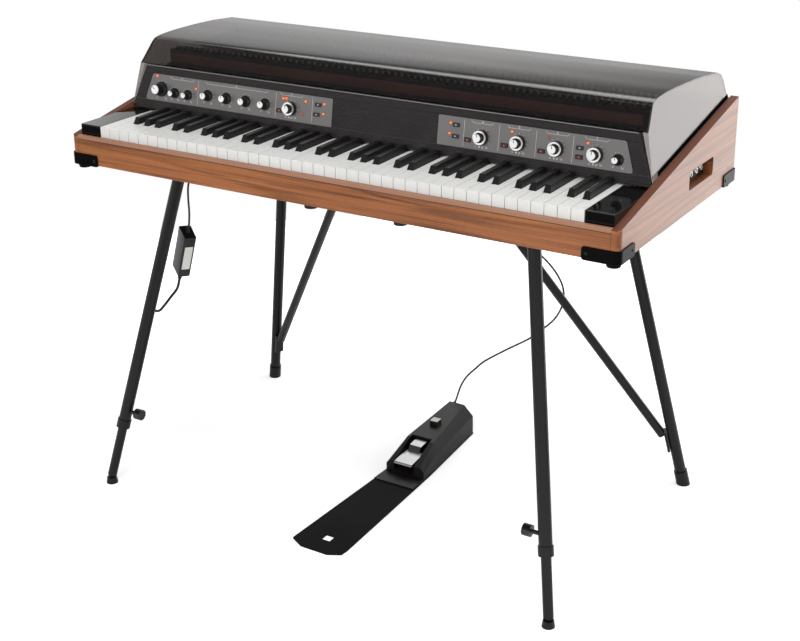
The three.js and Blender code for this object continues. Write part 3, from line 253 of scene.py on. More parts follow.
def place(points):
    """Millimetres in the keyboard's frame as metres in the model's frame."""
    return np.asarray(points, float) / 1000 + ORIGIN


def from_metres(point):
    """A point of the model's frame, in metres, as millimetres in the keyboard's frame."""
    return (np.array(point) - ORIGIN) * 1000


def unit(vectors):
    """Vectors at length one."""
    vectors = np.asarray(vectors, float)
    return vectors / np.linalg.norm(vectors, axis=-1, keepdims=True)


def on_panel(points):
    """Points of the panel's own frame in the keyboard's frame."""
    x, slope, out = np.asarray(points, float).T
    y = PANEL_FRONT + slope * math.sin(LEAN) - out * math.cos(LEAN)
    z = PANEL_RISE + slope * math.cos(LEAN) + out * math.sin(LEAN)
    return np.column_stack([x, y, z])


def side_top(y):
    """The height of the side panels' top line at a depth."""
    return SIDE_FRONT_TOP + (SIDE_BACK_TOP - SIDE_FRONT_TOP) * (y - CASE_FRONT) / (CASE_BACK - CASE_FRONT)


def slope_at(rise):
    """The distance up the panel's slope of a point this high over the key tops."""
    return (rise - PANEL_RISE) / math.cos(LEAN)


def quads(rows, columns, round_rows=False, round_columns=False):
    """The faces of a grid: each joins a point to its next neighbours along both parameters."""
    i = np.arange(rows if round_rows else rows - 1)[:, None]
    j = np.arange(columns if round_columns else columns - 1)[None, :]
    right = (j + 1) % columns
    below = (i + 1) % rows * columns
    return np.stack([i * columns + j, i * columns + right, below + right, below + j], axis=-1).reshape(-1, 4)


def rounded(corners, steps=5):
    """An outline with rounded corners. Each corner x, y, radius becomes a quadratic curve between two
    points on its edges, at the radius over the tangent of half its angle."""
    padded = np.array([(*corner, 0)[:3] for corner in corners], float)
    at, radius = padded[:, :2], padded[:, 2]
    before = unit(np.roll(at, 1, axis=0) - at)
    after = unit(np.roll(at, -1, axis=0) - at)
    half = np.arccos(np.clip((before * after).sum(axis=1), -1, 1)) / 2
    reach = (radius / np.tan(half))[:, None]
    t = np.linspace(0, 1, steps + 1)[None, :, None]
    start, end = (at + before * reach)[:, None], (at + after * reach)[:, None]
    points = ((1 - t) ** 2 * start + 2 * t * (1 - t) * at[:, None] + t ** 2 * end).reshape(-1, 2)
    apart = np.linalg.norm(points - np.roll(points, 1, axis=0), axis=1)
    return points[apart > 1e-6]


def rectangle(x0, y0, x1, y1, radius):
    """The outline of a rectangle between two corners, with each corner rounded by a radius."""
    return rounded([(x0, y0, radius), (x1, y0, radius), (x1, y1, radius), (x0, y1, radius)])


UPRIGHT = (0, 1, 2)
ACROSS = (2, 0, 1)


def prism(outline, low, high, order=UPRIGHT):
    """An outline drawn out between two values of the third coordinate. The order says which of the
    outline's coordinates and the third one each of x, y and z takes."""
    outline = np.asarray(outline, float)
    count = len(outline)
    ends = [np.column_stack([outline, np.full(count, value)]) for value in (low, high)]
    faces = quads(2, count, round_columns=True).tolist()
    faces += [list(range(count))[::-1], list(range(count, 2 * count))]
    return np.vstack(ends)[:, order], faces


def box(low, high):
    """A box between two corners."""
    (x0, y0, z0), (x1, y1, z1) = low, high
    return prism([(x0, y0), (x1, y0), (x1, y1), (x0, y1)], z0, z1)


def frame_of(axis):
    """Three unit vectors, square to each other, the last along the axis."""
    along = unit(axis)
    helper = np.eye(3)[np.argmin(np.abs(along))]
    across = unit(np.cross(helper, along))
    return across, np.cross(along, across), along


def lathe(profile, start, axis, sides=40, flutes=0, depth=0.0):
    """A turned form: the profile's radius and height, swept round an axis from a start. With flutes, the
    radius swells and sinks by a cosine of the angle, where the profile's third value is 1."""
    profile = np.array([(*point, 0)[:3] for point in profile], float)
    across, side, along = frame_of(axis)
    angle = np.arange(sides) * 2 * math.pi / sides
    ring = np.cos(angle)[:, None] * across + np.sin(angle)[:, None] * side
    radius = profile[:, :1] + profile[:, 2:] * depth * np.cos(flutes * angle)[None, :]
    points = np.asarray(start, float) + profile[:, 1][:, None, None] * along + radius[:, :, None] * ring
    return points.reshape(-1, 3), quads(len(profile), sides, round_columns=True)


def strokes(starts, ends, width, low, high):
    """Flat bars in a plane: a box round each line from its start to its end, this wide."""
    starts, ends = np.asarray(starts, float), np.asarray(ends, float)
    along = unit(ends - starts)
    side = np.column_stack([-along[:, 1], along[:, 0]]) * width / 2
    corners = np.stack([starts - side, ends - side, ends + side, starts + side], axis=1)
    levels = [np.concatenate([corners, np.full((*corners.shape[:2], 1), z)], axis=2) for z in (low, high)]
    box_faces = np.array([(3, 2, 1, 0), (4, 5, 6, 7), (0, 1, 5, 4), (1, 2, 6, 5), (2, 3, 7, 6), (3, 0, 4, 7)])
    faces = (box_faces[None] + 8 * np.arange(len(starts))[:, None, None]).reshape(-1, 4)
    return np.concatenate(levels, axis=1).reshape(-1, 3), faces


def turned(part, change):
    """A part whose points go through a function."""
    points, faces = part
    return change(points), faces


def piece(name, parts, body="case", slot=None, replaces=(), bevel=0.0, angle=35, closed=True):
    """Joins parts, each of points, faces and a material, into one object that rides on a body. A bevel
    in metres eases its edges; without one, edges sharper than the angle stay sharp."""
    points, faces, marks, materials = [], [], [], []
    count = 0
    for (part_points, part_faces), material in parts:
        if material not in materials:
            materials.append(material)
        rows = part_faces.tolist() if isinstance(part_faces, np.ndarray) else part_faces
        faces += [[index + count for index in row] for row in rows]
        marks += [materials.index(material)] * len(rows)
        points.append(part_points)
        count += len(part_points)
    mesh = bpy.data.meshes.new(name)
    mesh.from_pydata(place(np.vstack(points)).tolist(), [], faces)
    mesh.polygons.foreach_set("material_index", marks)
    for material in materials:
        mesh.materials.append(material)
    return finished(name, mesh, body, replaces, bevel, angle, closed)


def finished(name, mesh, body, replaces, bevel, angle, closed=True):
    """Closes the seams of a mesh, faces a closed one outwards, smooths it and puts it on its body. Where its
    edges are eased, normals weighted by area keep the flat faces flat."""
    work = bmesh.new()
    work.from_mesh(mesh)
    bmesh.ops.remove_doubles(work, verts=work.verts, dist=1e-6)
    if closed:
        bmesh.ops.recalc_face_normals(work, faces=work.faces)
    work.to_mesh(mesh)
    work.free()
    mesh.polygons.foreach_set("use_smooth", [True] * len(mesh.polygons))
    made = bpy.data.objects.new(name, mesh)
    bpy.context.scene.collection.objects.link(made)
    if bevel:
        ease = made.modifiers.new("Eased edges", "BEVEL")
        ease.width = bevel
        ease.segments = 2
        ease.limit_method = "ANGLE"
        ease.angle_limit = math.radians(angle)
        ease.harden_normals = True
        flat = made.modifiers.new("Flat faces", "WEIGHTED_NORMAL")
        flat.weight = 100
    else:
        mesh.set_sharp_from_angle(angle=math.radians(angle))
    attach(made, body)
    if replaces:
        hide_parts(*replaces)
    return made


def from_solid(node, material, body="case", bevel=0.0, angle=30, zones=(), crease=None,
               leaning=False):
    """A finished piece over a node's solid: a copy of its mesh, merged, with its flat faces joined. Each zone
    is a material and a condition that the middle of a face fulfils, in the keyboard's frame. The crease is a
    width and a condition for both ends of the edges that it rounds. A leaning copy has ends that lean in from
    the side panels' top line."""
    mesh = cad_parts[node].data.copy()
    mesh.materials.clear()
    mesh.materials.append(material)
    work = bmesh.new()
    work.from_mesh(mesh)
    for face in work.faces:
        face.material_index = 0
    bmesh.ops.remove_doubles(work, verts=work.verts, dist=2e-6)
    if leaning:
        cut_at_side_top(work, -LID_FOLD)
        for point in work.verts:
            point.co = place(lean_ends(*from_metres(point.co)))
    bmesh.ops.dissolve_limit(work, angle_limit=math.radians(0.6), verts=work.verts, edges=work.edges)
    if leaning:
        cut_at_side_top(work, 0)
    if crease:
        width, on_crease = crease
        rounded_edges = [edge for edge in work.edges
                         if all(on_crease(from_metres(end.co)) for end in edge.verts)]
        bmesh.ops.bevel(work, geom=rounded_edges, offset=width / 1000, offset_type="OFFSET", segments=6,
                        profile=0.5, affect="EDGES", clamp_overlap=False)
    for zone, (zone_material, inside) in enumerate(zones, 1):
        mesh.materials.append(zone_material)
        for face in work.faces:
            if face.material_index == 0 and inside(from_metres(face.calc_center_median())):
                face.material_index = zone
    work.to_mesh(mesh)
    work.free()
    return finished(f"{node}_finish", mesh, body, (node,), bevel, angle)


def add(tree, kind, inputs=None, stops=None, **settings):
    """Adds a shader node with its settings. Inputs are values or sockets to link from."""
    made = tree.nodes.new(f"ShaderNode{kind}")
    for name, value in settings.items():
        setattr(made, name, value)
    for name, value in (inputs or {}).items():
        if isinstance(value, bpy.types.NodeSocket):
            tree.links.new(value, made.inputs[name])
        else:
            made.inputs[name].default_value = value
    if stops:
        elements = made.color_ramp.elements
        while len(elements) < len(stops):
            elements.new(0.5)
        for element, (position, value) in zip(elements, stops):
            element.position = position
            element.color = value
    return made


def start_finish(name, values):
    """A material with one Principled surface that holds the given values, and its Object coordinates."""
    material = bpy.data.materials.new(name)
    material.use_nodes = True
    tree = material.node_tree
    tree.nodes.clear()
    surface = add(tree, "BsdfPrincipled", values)
    add(tree, "OutputMaterial", {"Surface": surface.outputs[0]})
    coordinates = add(tree, "TexCoord").outputs["Object"]
    return material, tree, surface, coordinates


# The sockets of a Mix node that mixes colours: its two inputs and its output.
FIRST, SECOND, MIXED = 6, 7, 2


def oiled_walnut(name, along):
    """Walnut veneer, sliced and oiled: long wavy bands of red-brown about 9 mm high and 400 mm long, darker
    lines along them, short pores 0.4 mm wide and a satin sheen. Four noises are stretched along the grain,
    and the bands are the sine of the figure's rings."""
    colours = bpy.context.scene.piano_colours
    material, tree, surface, coordinates = start_finish(name, {"Roughness": 0.34, "IOR": 1.5})
    noise = {}
    for layer, across, lengthwise, detail, roughness, distortion in (
            ("figure", 30.0, 1.3, 2.0, 0.5, 0.3), ("streaks", 330.0, 3.4, 4.0, 0.6, 0.0),
            ("shade", 9.0, 1.1, 2.0, 0.5, 0.0), ("pores", 2400.0, 110.0, 1.0, 0.5, 0.0)):
        scale = [across] * 3
        scale[along] = lengthwise
        placed = add(tree, "Mapping", {"Vector": coordinates, "Scale": scale})
        noise[layer] = add(tree, "TexNoise", {
            "Vector": placed.outputs[0], "Scale": 1.0, "Detail": detail, "Roughness": roughness,
            "Distortion": distortion}).outputs[0]
    rings = add(tree, "Math", {0: noise["figure"], 1: 34.0}, operation="MULTIPLY")
    bands = add(tree, "Math", {0: rings.outputs[0]}, operation="SINE")
    lines = add(tree, "MapRange", {"Value": bands.outputs[0], "From Min": -1.0, "From Max": 0.4,
                                   "To Min": -0.1, "To Max": 0.03})
    ground = add(tree, "Math", {0: noise["streaks"], 1: 0.6, 2: lines.outputs[0]}, operation="MULTIPLY_ADD")
    grain = add(tree, "Math", {0: noise["shade"], 1: 0.3, 2: ground.outputs[0]}, operation="MULTIPLY_ADD")
    specks = add(tree, "MapRange", {"Value": noise["pores"], "From Min": 0.62, "From Max": 0.7,
                                    "To Min": 0.0, "To Max": -0.12})
    marked = add(tree, "Math", {0: grain.outputs[0], 1: specks.outputs[0]}, operation="ADD")
    tint = add(tree, "ValToRGB", {"Fac": marked.outputs[0]}, stops=[
        (0.22, colours.wood_dark), (0.42, colours.wood_middle), (0.62, colours.wood_light)])
    tree.links.new(tint.outputs[0], surface.inputs["Base Color"])
    relief = add(tree, "Bump", {"Height": noise["pores"], "Strength": 0.1, "Distance": 0.0002})
    tree.links.new(relief.outputs[0], surface.inputs["Normal"])
    return material


def even_surface(name, tone, roughness, grit, depth, values=None):
    """A surface of one colour, such as paint, rubber or moulded ABS: faint clouds darken it and change its
    gloss, and a grit softens its highlights. The grit has its given size in millimetres. Where the real one
    is too fine to show, it is drawn coarser."""
    material, tree, surface, coordinates = start_finish(name, {"IOR": 1.53, **(values or {})})
    speckle = add(tree, "TexNoise", {"Vector": coordinates, "Scale": 1000 / grit, "Detail": 2.0})
    cloud = add(tree, "TexNoise", {"Vector": coordinates, "Scale": 9.0, "Detail": 3.0})
    tint = add(tree, "Mix", {"Factor": cloud.outputs[0], FIRST: tone, SECOND: darker(tone, 0.86)},
               data_type="RGBA")
    tree.links.new(tint.outputs[MIXED], surface.inputs["Base Color"])
    gloss = add(tree, "MapRange", {
        "Value": cloud.outputs[0], "To Min": roughness * 0.88, "To Max": roughness * 1.12})
    tree.links.new(gloss.outputs[0], surface.inputs["Roughness"])
    relief = add(tree, "Bump", {"Height": speckle.outputs[0], "Strength": depth, "Distance": 0.0003})
    tree.links.new(relief.outputs[0], surface.inputs["Normal"])
    return material


def brushed_metal(name, tone, roughness, spacing, along):
    """Brushed or drawn metal: lines along one axis that stretch the highlight. They have the given spacing in
    millimetres, which is coarser than the real one so that it shows."""
    material, tree, surface, coordinates = start_finish(name, {"Metallic": 1.0})
    scale = [1000 / spacing] * 3
    scale[along] = 12.0
    stretched = add(tree, "Mapping", {"Vector": coordinates, "Scale": scale})
    grain = add(tree, "TexNoise", {"Vector": stretched.outputs[0], "Scale": 1.0, "Detail": 3.0})
    tint = add(tree, "Mix", {"Factor": grain.outputs[0], FIRST: tone, SECOND: darker(tone, 0.8)},
               data_type="RGBA")
    tree.links.new(tint.outputs[MIXED], surface.inputs["Base Color"])
    gloss = add(tree, "MapRange", {
        "Value": grain.outputs[0], "To Min": roughness * 0.75, "To Max": roughness * 1.25})
    tree.links.new(gloss.outputs[0], surface.inputs["Roughness"])
    relief = add(tree, "Bump", {"Height": grain.outputs[0], "Strength": 0.08, "Distance": 0.0001})
    tree.links.new(relief.outputs[0], surface.inputs["Normal"])
    return material


def smoked_acrylic(name, tone, clear):
    """Cast smoked acrylic: clear to look through but dark, with a glassy polish and faint haze. Where it is
    less clear, the rest is a pale matt colour: on the lid's ends this is painted light, for the bright
    reflection that they show."""
    material, tree, surface, coordinates = start_finish(name, {"IOR": 1.49, "Transmission Weight": clear})
    haze = add(tree, "TexNoise", {"Vector": coordinates, "Scale": 6.0, "Detail": 2.0})
    tint = add(tree, "Mix", {"Factor": haze.outputs[0], FIRST: tone, SECOND: darker(tone, 0.86)},
               data_type="RGBA")
    tree.links.new(tint.outputs[MIXED], surface.inputs["Base Color"])
    gloss = add(tree, "MapRange", {"Value": haze.outputs[0], "To Min": 0.02, "To Max": 0.05})
    tree.links.new(gloss.outputs[0], surface.inputs["Roughness"])
    return material


def lamp_lens(name, tone, strength):
    """The moulded lens of an indicator lamp: an even glow over a fine cell of about 1 mm."""
    material, tree, surface, coordinates = start_finish(name, {
        "Roughness": 0.2, "Emission Color": tone, "Emission Strength": strength})
    cell = add(tree, "TexNoise", {"Vector": coordinates, "Scale": 900.0})
    tint = add(tree, "Mix", {"Factor": cell.outputs[0], FIRST: tone, SECOND: darker(tone, 0.6)},
               data_type="RGBA")
    tree.links.new(tint.outputs[MIXED], surface.inputs["Base Color"])
    return material


def finishes():
    """Every material of the piano by the name of its finish, each made the first time it is asked for. An even
    surface has a colour, a roughness, the grit's size in millimetres and the depth of the grit."""
    colours = bpy.context.scene.piano_colours
    tone = {field: tuple(getattr(colours, field)) for field in colours.__annotations__}
    kinds = {
        # Veneer, sliced and oiled: a red-brown banded figure under a satin sheen.
        "front_walnut": ("oiled walnut, grain across", oiled_walnut, 0),
        "side_walnut": ("oiled walnut, grain to the back", oiled_walnut, 1),
        # The side panels' top edges: walnut darker than the veneer, as painted shade on the tops, with little
        # sheen.
        "shaded_top_edge": ("oiled solid walnut", even_surface, tone["wood_edge"], 0.5, 3.0, 0.1, {"IOR": 1.25}),
        # Solid wood, rounded and waxed: a pale, soft highlight along its edge.
        "rail_edge": ("waxed solid walnut", even_surface, tone["rail_edge"], 0.5, 3.0, 0.1),
        # A dark band under the rail's rounded edge: painted shade for the groove between veneer and solid wood,
        # a thin dark line that never shines.
        "joint": ("stained joint", even_surface, linear("5a3520"), 0.7, 2.0, 0.1),
        # Acrylic, moulded and buffed: a clean white with a clear highlight on each edge.
        "white_key": ("moulded acrylic key", even_surface, tone["white_key"], 0.28, 0.8, 0.03),
        # ABS from a satin mould: a deep grey with a broad highlight.
        "black_key": ("moulded ABS sharp", even_surface, tone["black_key"], 0.36, 0.5, 0.12),
        # ABS, moulded and polished: a black mirror.
        "gloss_black": ("polished black ABS", even_surface, tone["gloss_black"], 0.08, 2.0, 0.02),
        # Vinyl with a pressed grain: a soft sheen that the ribs break up.
        "vinyl": ("embossed vinyl", even_surface, tone["vinyl"], 0.42, 0.7, 0.2),
        # Aluminium, rolled and painted: an even grey that brightens where the light grazes it.
        "plate": ("painted aluminium plate", even_surface, tone["plate"], 0.38, 0.6, 0.05, {"Metallic": 0.35}),
        # A pale rod on the panel's upper edge: a painted highlight, drawn as a thin pale line along that edge.
        "bead": ("moulded grey edging", even_surface, linear("8b8886"), 0.3, 0.6, 0.05),
        # Ink through a screen: flat, matt and crisp.
        "print": ("screen print", even_surface, tone["print_white"], 0.5, 0.5, 0.05),
        # ABS from a spark-eroded mould: black, with a grit that spreads the highlights.
        "plastic": ("moulded ABS", even_surface, tone["plastic"], 0.34, 0.5, 0.1),
        # Aluminium faced on a lathe: bright, with fine lines.
        "cap": ("turned aluminium", brushed_metal, tone["aluminium"], 0.3, 0.3, 0),
        # Acrylic, tinted and cast: clear but dark, with sharp reflections. Its ends get a paler, less clear
        # copy: painted light for the bright reflection on them.
        "acrylic": ("smoked acrylic", smoked_acrylic, tone["acrylic"], 1.0),
        "lid_end": ("hazy smoked acrylic", smoked_acrylic, tone["lid_end"], 0.64),
        # Polycarbonate lenses, moulded: orange, one glowing and one nearly dark.
        "lamp": ("lit lamp lens", lamp_lens, tone["lamp"], 6.0),
        "dim_lamp": ("dim lamp lens", lamp_lens, tone["lamp"], 0.4),
        # Steel with baked powder: black with a soft, slightly uneven sheen, fainter on the corners.
        "steel": ("powder-coated steel", even_surface, tone["steel_black"], 0.33, 0.7, 0.12, {"IOR": 1.38}),
        "corner": ("powder-coated corner steel", even_surface, tone["steel_black"], 0.33, 0.7, 0.12,
                   {"IOR": 1.14}),
        # Rubber, vulcanised: a dull black.
        "rubber": ("black rubber", even_surface, tone["cable"], 0.7, 0.8, 0.2),
        # PVC, extruded: black with one soft line of light.
        "cable": ("PVC cable jacket", even_surface, tone["cable"], 0.5, 0.6, 0.1),
        # Steel, pressed and painted: a satin brown-black.
        "pedal": ("painted pedal steel", even_surface, tone["pedal_black"], 0.4, 0.8, 0.1, {"IOR": 1.3}),
        # Rubber, pressed with ribs: matt and coarse.
        "mat": ("ribbed rubber mat", even_surface, linear("111212"), 0.7, 1.1, 0.4, {"IOR": 1.2}),
        # Steel, chromed and worn: a bright metal with soft reflections.
        "chrome": ("chromed steel", brushed_metal, tone["chrome"], 0.3, 1.5, 0),
        # Harp bars: steel coloured near black as painted shade for the dark inside of the lid, with dull edges,
        # under screws that glint through zinc.
        "shaded_harp_steel": ("blued bar steel", even_surface, linear("171413"), 0.55, 0.8, 0.1),
        "harp_screw": ("zinc-plated steel", brushed_metal, linear("b0aaa4"), 0.4, 0.6, 1),
        # A black band at the foot of the lid's ends: painted shade for the dark gap between the lid and the
        # side panels, without any shine.
        "seal": ("foam sealing strip", even_surface, linear("060606"), 0.95, 0.8, 0.3, {"IOR": 1.05}),
        # Beech, planed and painted: a plain red-brown.
        "harp_wood": ("painted beech rail", even_surface, linear("9a6052"), 0.6, 1.2, 0.1),
        # Wool, felted: a deep red-brown that swallows the light.
        "felt": ("wool felt", even_surface, linear("2a1513"), 0.95, 0.9, 0.5),
    }
    return {finish: bpy.data.materials.get(name) or maker(name, *values)
            for finish, (name, maker, *values) in kinds.items()}


class PianoOperator:
    """What the piano's operators share."""

    bl_options = {"REGISTER", "UNDO"}

    def execute(self, context):
        """Builds the operator's pieces with the scene's sizes and the finishes."""
        self.build(context.scene.piano_sizes, finishes())
        return {"FINISHED"}


class PIANO_OT_camera(PianoOperator, bpy.types.Operator):
    """Adds the camera at the photograph's place."""

    bl_idname = "piano.camera"
    bl_label = "Camera"

    def build(self, sizes, finish):
        place_of_lens = (1.386607, -2.208966, 1.44608)
        yaw, pitch, roll = 0.554, -0.348, -0.010
        forward = np.array([-math.sin(yaw) * math.cos(pitch), math.cos(yaw) * math.cos(pitch), math.sin(pitch)])
        level = np.array([math.cos(yaw), math.sin(yaw), 0])
        upward = np.cross(level, forward)
        right = level * math.cos(roll) + upward * math.sin(roll)
        up = -level * math.sin(roll) + upward * math.cos(roll)
        lens = bpy.data.cameras.new("camera")
        lens.lens = 65.04
        lens.sensor_width = 36
        lens.shift_x = 0.001
        lens.shift_y = -0.0874
        lens.clip_end = 60
        camera = bpy.data.objects.new("camera", lens)
        turn = np.eye(4)
        turn[:3, :3] = np.column_stack([right, up, -forward])
        turn[:3, 3] = place_of_lens
        camera.matrix_world = Matrix(turn.tolist())
        bpy.context.scene.collection.objects.link(camera)
        bpy.context.scene.camera = camera


def smooth_route(points, steps=10):
    """A centripetal Catmull-Rom curve through points, as evenly split spans: each span is a cubic whose
    end tangents come from the four points round it, weighted by the square roots of their distances."""
    points = np.asarray(points, float)
    padded = np.vstack([2 * points[0] - points[1], points, 2 * points[-1] - points[-2]])
    gaps = np.linalg.norm(np.diff(padded, axis=0), axis=1)[:, None] ** 0.5
    p0, p1, p2, p3 = padded[:-3], padded[1:-2], padded[2:-1], padded[3:]
    g0, g1, g2 = gaps[:-2], gaps[1:-1], gaps[2:]
    leave = ((p1 - p0) / g0 - (p2 - p0) / (g0 + g1) + (p2 - p1) / g1) * g1
    reach = ((p2 - p1) / g1 - (p3 - p1) / (g1 + g2) + (p3 - p2) / g2) * g1
    t = (np.arange(steps) / steps)[None, :, None]
    cubic = 2 * p1 - 2 * p2 + leave + reach
    square = -3 * p1 + 3 * p2 - 2 * leave - reach
    spans = p1[:, None] + t * leave[:, None] + t ** 2 * square[:, None] + t ** 3 * cubic[:, None]
    return np.vstack([spans.reshape(-1, 3), points[-1:]])


def lead(name, route, radius, material, nodes):
    """A round lead as a curve along a route, with its ends filled."""
    curve = bpy.data.curves.new(name, "CURVE")
    curve.dimensions = "3D"
    curve.bevel_depth = radius / 1000
    curve.bevel_resolution = 3
    curve.use_fill_caps = True
    spline = curve.splines.new("POLY")
    spline.points.add(len(route) - 1)
    spline.points.foreach_set("co", np.column_stack([place(route), np.ones(len(route))]).ravel())
    spline.use_smooth = True
    curve.materials.append(material)
    made = bpy.data.objects.new(name, curve)
    bpy.context.scene.collection.objects.link(made)
    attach(made, "case")
    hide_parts(*nodes)
    return made


def brick_at(distance):
    """A point on the power supply's long axis, this far from its middle."""
    return BRICK_CENTRE + unit(BRICK_LONG) * distance


def coil_route():
    """The stored part of the mains lead. Its radius falls and grows again by the pitch for each turn, and
    it sinks one step, by a smooth step, in the half turn where it reverses."""
    middle = COIL_TURNS + 0.25
    outer = COIL_RADIUS + COIL_PITCH * middle
    turns = np.arange(24 * 2 * middle + 1) / 24
    radius = COIL_RADIUS + COIL_PITCH * np.abs(turns - middle)
    t = np.clip((turns - COIL_TURNS) / 0.5, 0, 1)
    sunk = t * t * (3 - 2 * t)
    angle = math.pi - 2 * math.pi * turns
    x, _, z = MAINS_LEAD[-1]
    return np.column_stack([x + outer + radius * np.cos(angle), COIL_Y + radius * np.sin(angle),
                            z - COIL_STEP * sunk])


class PIANO_OT_leads(PianoOperator, bpy.types.Operator):
    """Adds the pedal lead, the power supply with its two leads, and the mains plug."""

    bl_idname = "piano.leads"
    bl_label = "Leads and power supply"

    def build(self, sizes, finish):
        half = BRICK_SIZE[2] / 2
        self.power_supply(finish, half)
        coil = coil_route()
        plug = self.mains_plug(finish, coil[-1])
        pedal_route = smooth_route(PEDAL_LEAD)
        pedal_lead = lead("pedal_lead_cable", pedal_route, THIN_LEAD, finish["cable"], ["pedal_lead"])
        dc_start = [brick_at(half + DC_RELIEF + 0.3), brick_at(half + DC_RELIEF + 5)]
        dc_route = smooth_route([*dc_start, *DC_LEAD])
        dc_lead = lead("supply_lead_cable", dc_route, THIN_LEAD, finish["cable"], ["dc_lead"])
        mains_start = [brick_at(-half - MAINS_RELIEF - 0.3), brick_at(-half - MAINS_RELIEF - 7)]
        free = smooth_route([*mains_start, *MAINS_LEAD])
        tail = np.array([[coil[-1][0], PLUG_Y + 0.3, coil[-1][2]]])
        route = np.vstack([free, coil, tail])
        mains_lead = lead("mains_lead_cable", route, MAINS_THICK, finish["cable"],
                          ["mains_lead", "mains_coil"])

    def power_supply(self, finish, half):
        """The tilted box of the power supply, with its label field, relief and inlet plug."""
        flat = BRICK_FLAT - unit(BRICK_LONG) * (BRICK_FLAT @ unit(BRICK_LONG))
        axes = np.array([unit(flat), np.cross(unit(BRICK_LONG), unit(flat)), unit(BRICK_LONG)])

        def turn(points):
            """Points of the box's own frame, turned along its axes and moved to its place."""
            return np.asarray(points) @ axes + BRICK_CENTRE

        thick, wide = BRICK_SIZE[0] / 2, BRICK_SIZE[1] / 2
        seam = 0.15
        relief = [(0, half - 1), (4.4, half - 1), (4.4, half + 2), (3.8, half + 3), (3.8, half + 5),
                  (3.4, half + 6), (3.4, half + 8), (3, half + 9), (3, half + 11), (2.6, half + DC_RELIEF),
                  (0, half + DC_RELIEF)]
        inlet = [(0, 1 - half), (7, 1 - half), (6.5, -half - 8), (5.4, -half - 9), (5.2, -half - 13),
                 (4.4, -half - 14), (4.2, -half - 17), (3.6, -half - MAINS_RELIEF), (0, -half - MAINS_RELIEF)]
        body = rectangle(-thick, -wide, thick, wide, 2.5)
        band = rectangle(-thick - seam, -wide - seam, thick + seam, wide + seam, 2.5)
        label = rectangle(4 - thick, -30, thick - 4, 26, 1)
        parts = [
            (turned(prism(body, -half, half), turn), finish["plastic"]),
            (turned(prism(band, half - 9, half - 8.2), turn), finish["plastic"]),
            (turned(lathe(relief, (0, 0, 0), (0, 0, 1)), turn), finish["rubber"]),
            (turned(lathe(inlet, (0, 0, 0), (0, 0, 1)), turn), finish["rubber"]),
            (turned(prism(label, -wide - 0.25, 0.5 - wide, (0, 2, 1)), turn), finish["print"]),
        ]
        return piece("power_supply_box", parts, slot="supply_black", replaces=["power_brick"])

    def mains_plug(self, finish, end):
        """The moulded plug that lies at the end of the coil, with a ribbed relief and two pins."""
        x, _, z = end
        low = z - PLUG_RADIUS + MAINS_THICK + 1
        front = PLUG_Y - 34
        relief = [(0, 0), (4.2, 0), (4.4, 2), (3.8, 3), (3.8, 4), (4.9, 5), (4.4, 6.2), (4.4, 7.2),
                  (5.6, 8.2), (6, 12), (0, 12)]
        body = [(0, 10), (9, 10), (11, 12), (PLUG_RADIUS, 15), (PLUG_RADIUS, 30), (11.4, 33), (10, 34),
                (0, 34)]
        pin = [(0, 0), (1.7, 0), (2.05, 0.15), (2.2, 0.5), (2.2, 18.5), (2.05, 18.85), (1.7, 19), (0, 19)]
        parts = [
            (lathe(relief, (x, PLUG_Y, z), (0, -1, 0)), finish["rubber"]),
            (lathe(body, (x, PLUG_Y, low), (0, -1, 0)), finish["plastic"]),
        ]
        parts += [(lathe(pin, (x + side * 8.5, front + 1, low), (0, -1, 0), 32), finish["chrome"])
                  for side in (-1, 1)]
        return piece("mains_plug_body", parts, slot="supply_black", replaces=["mains_plug"])


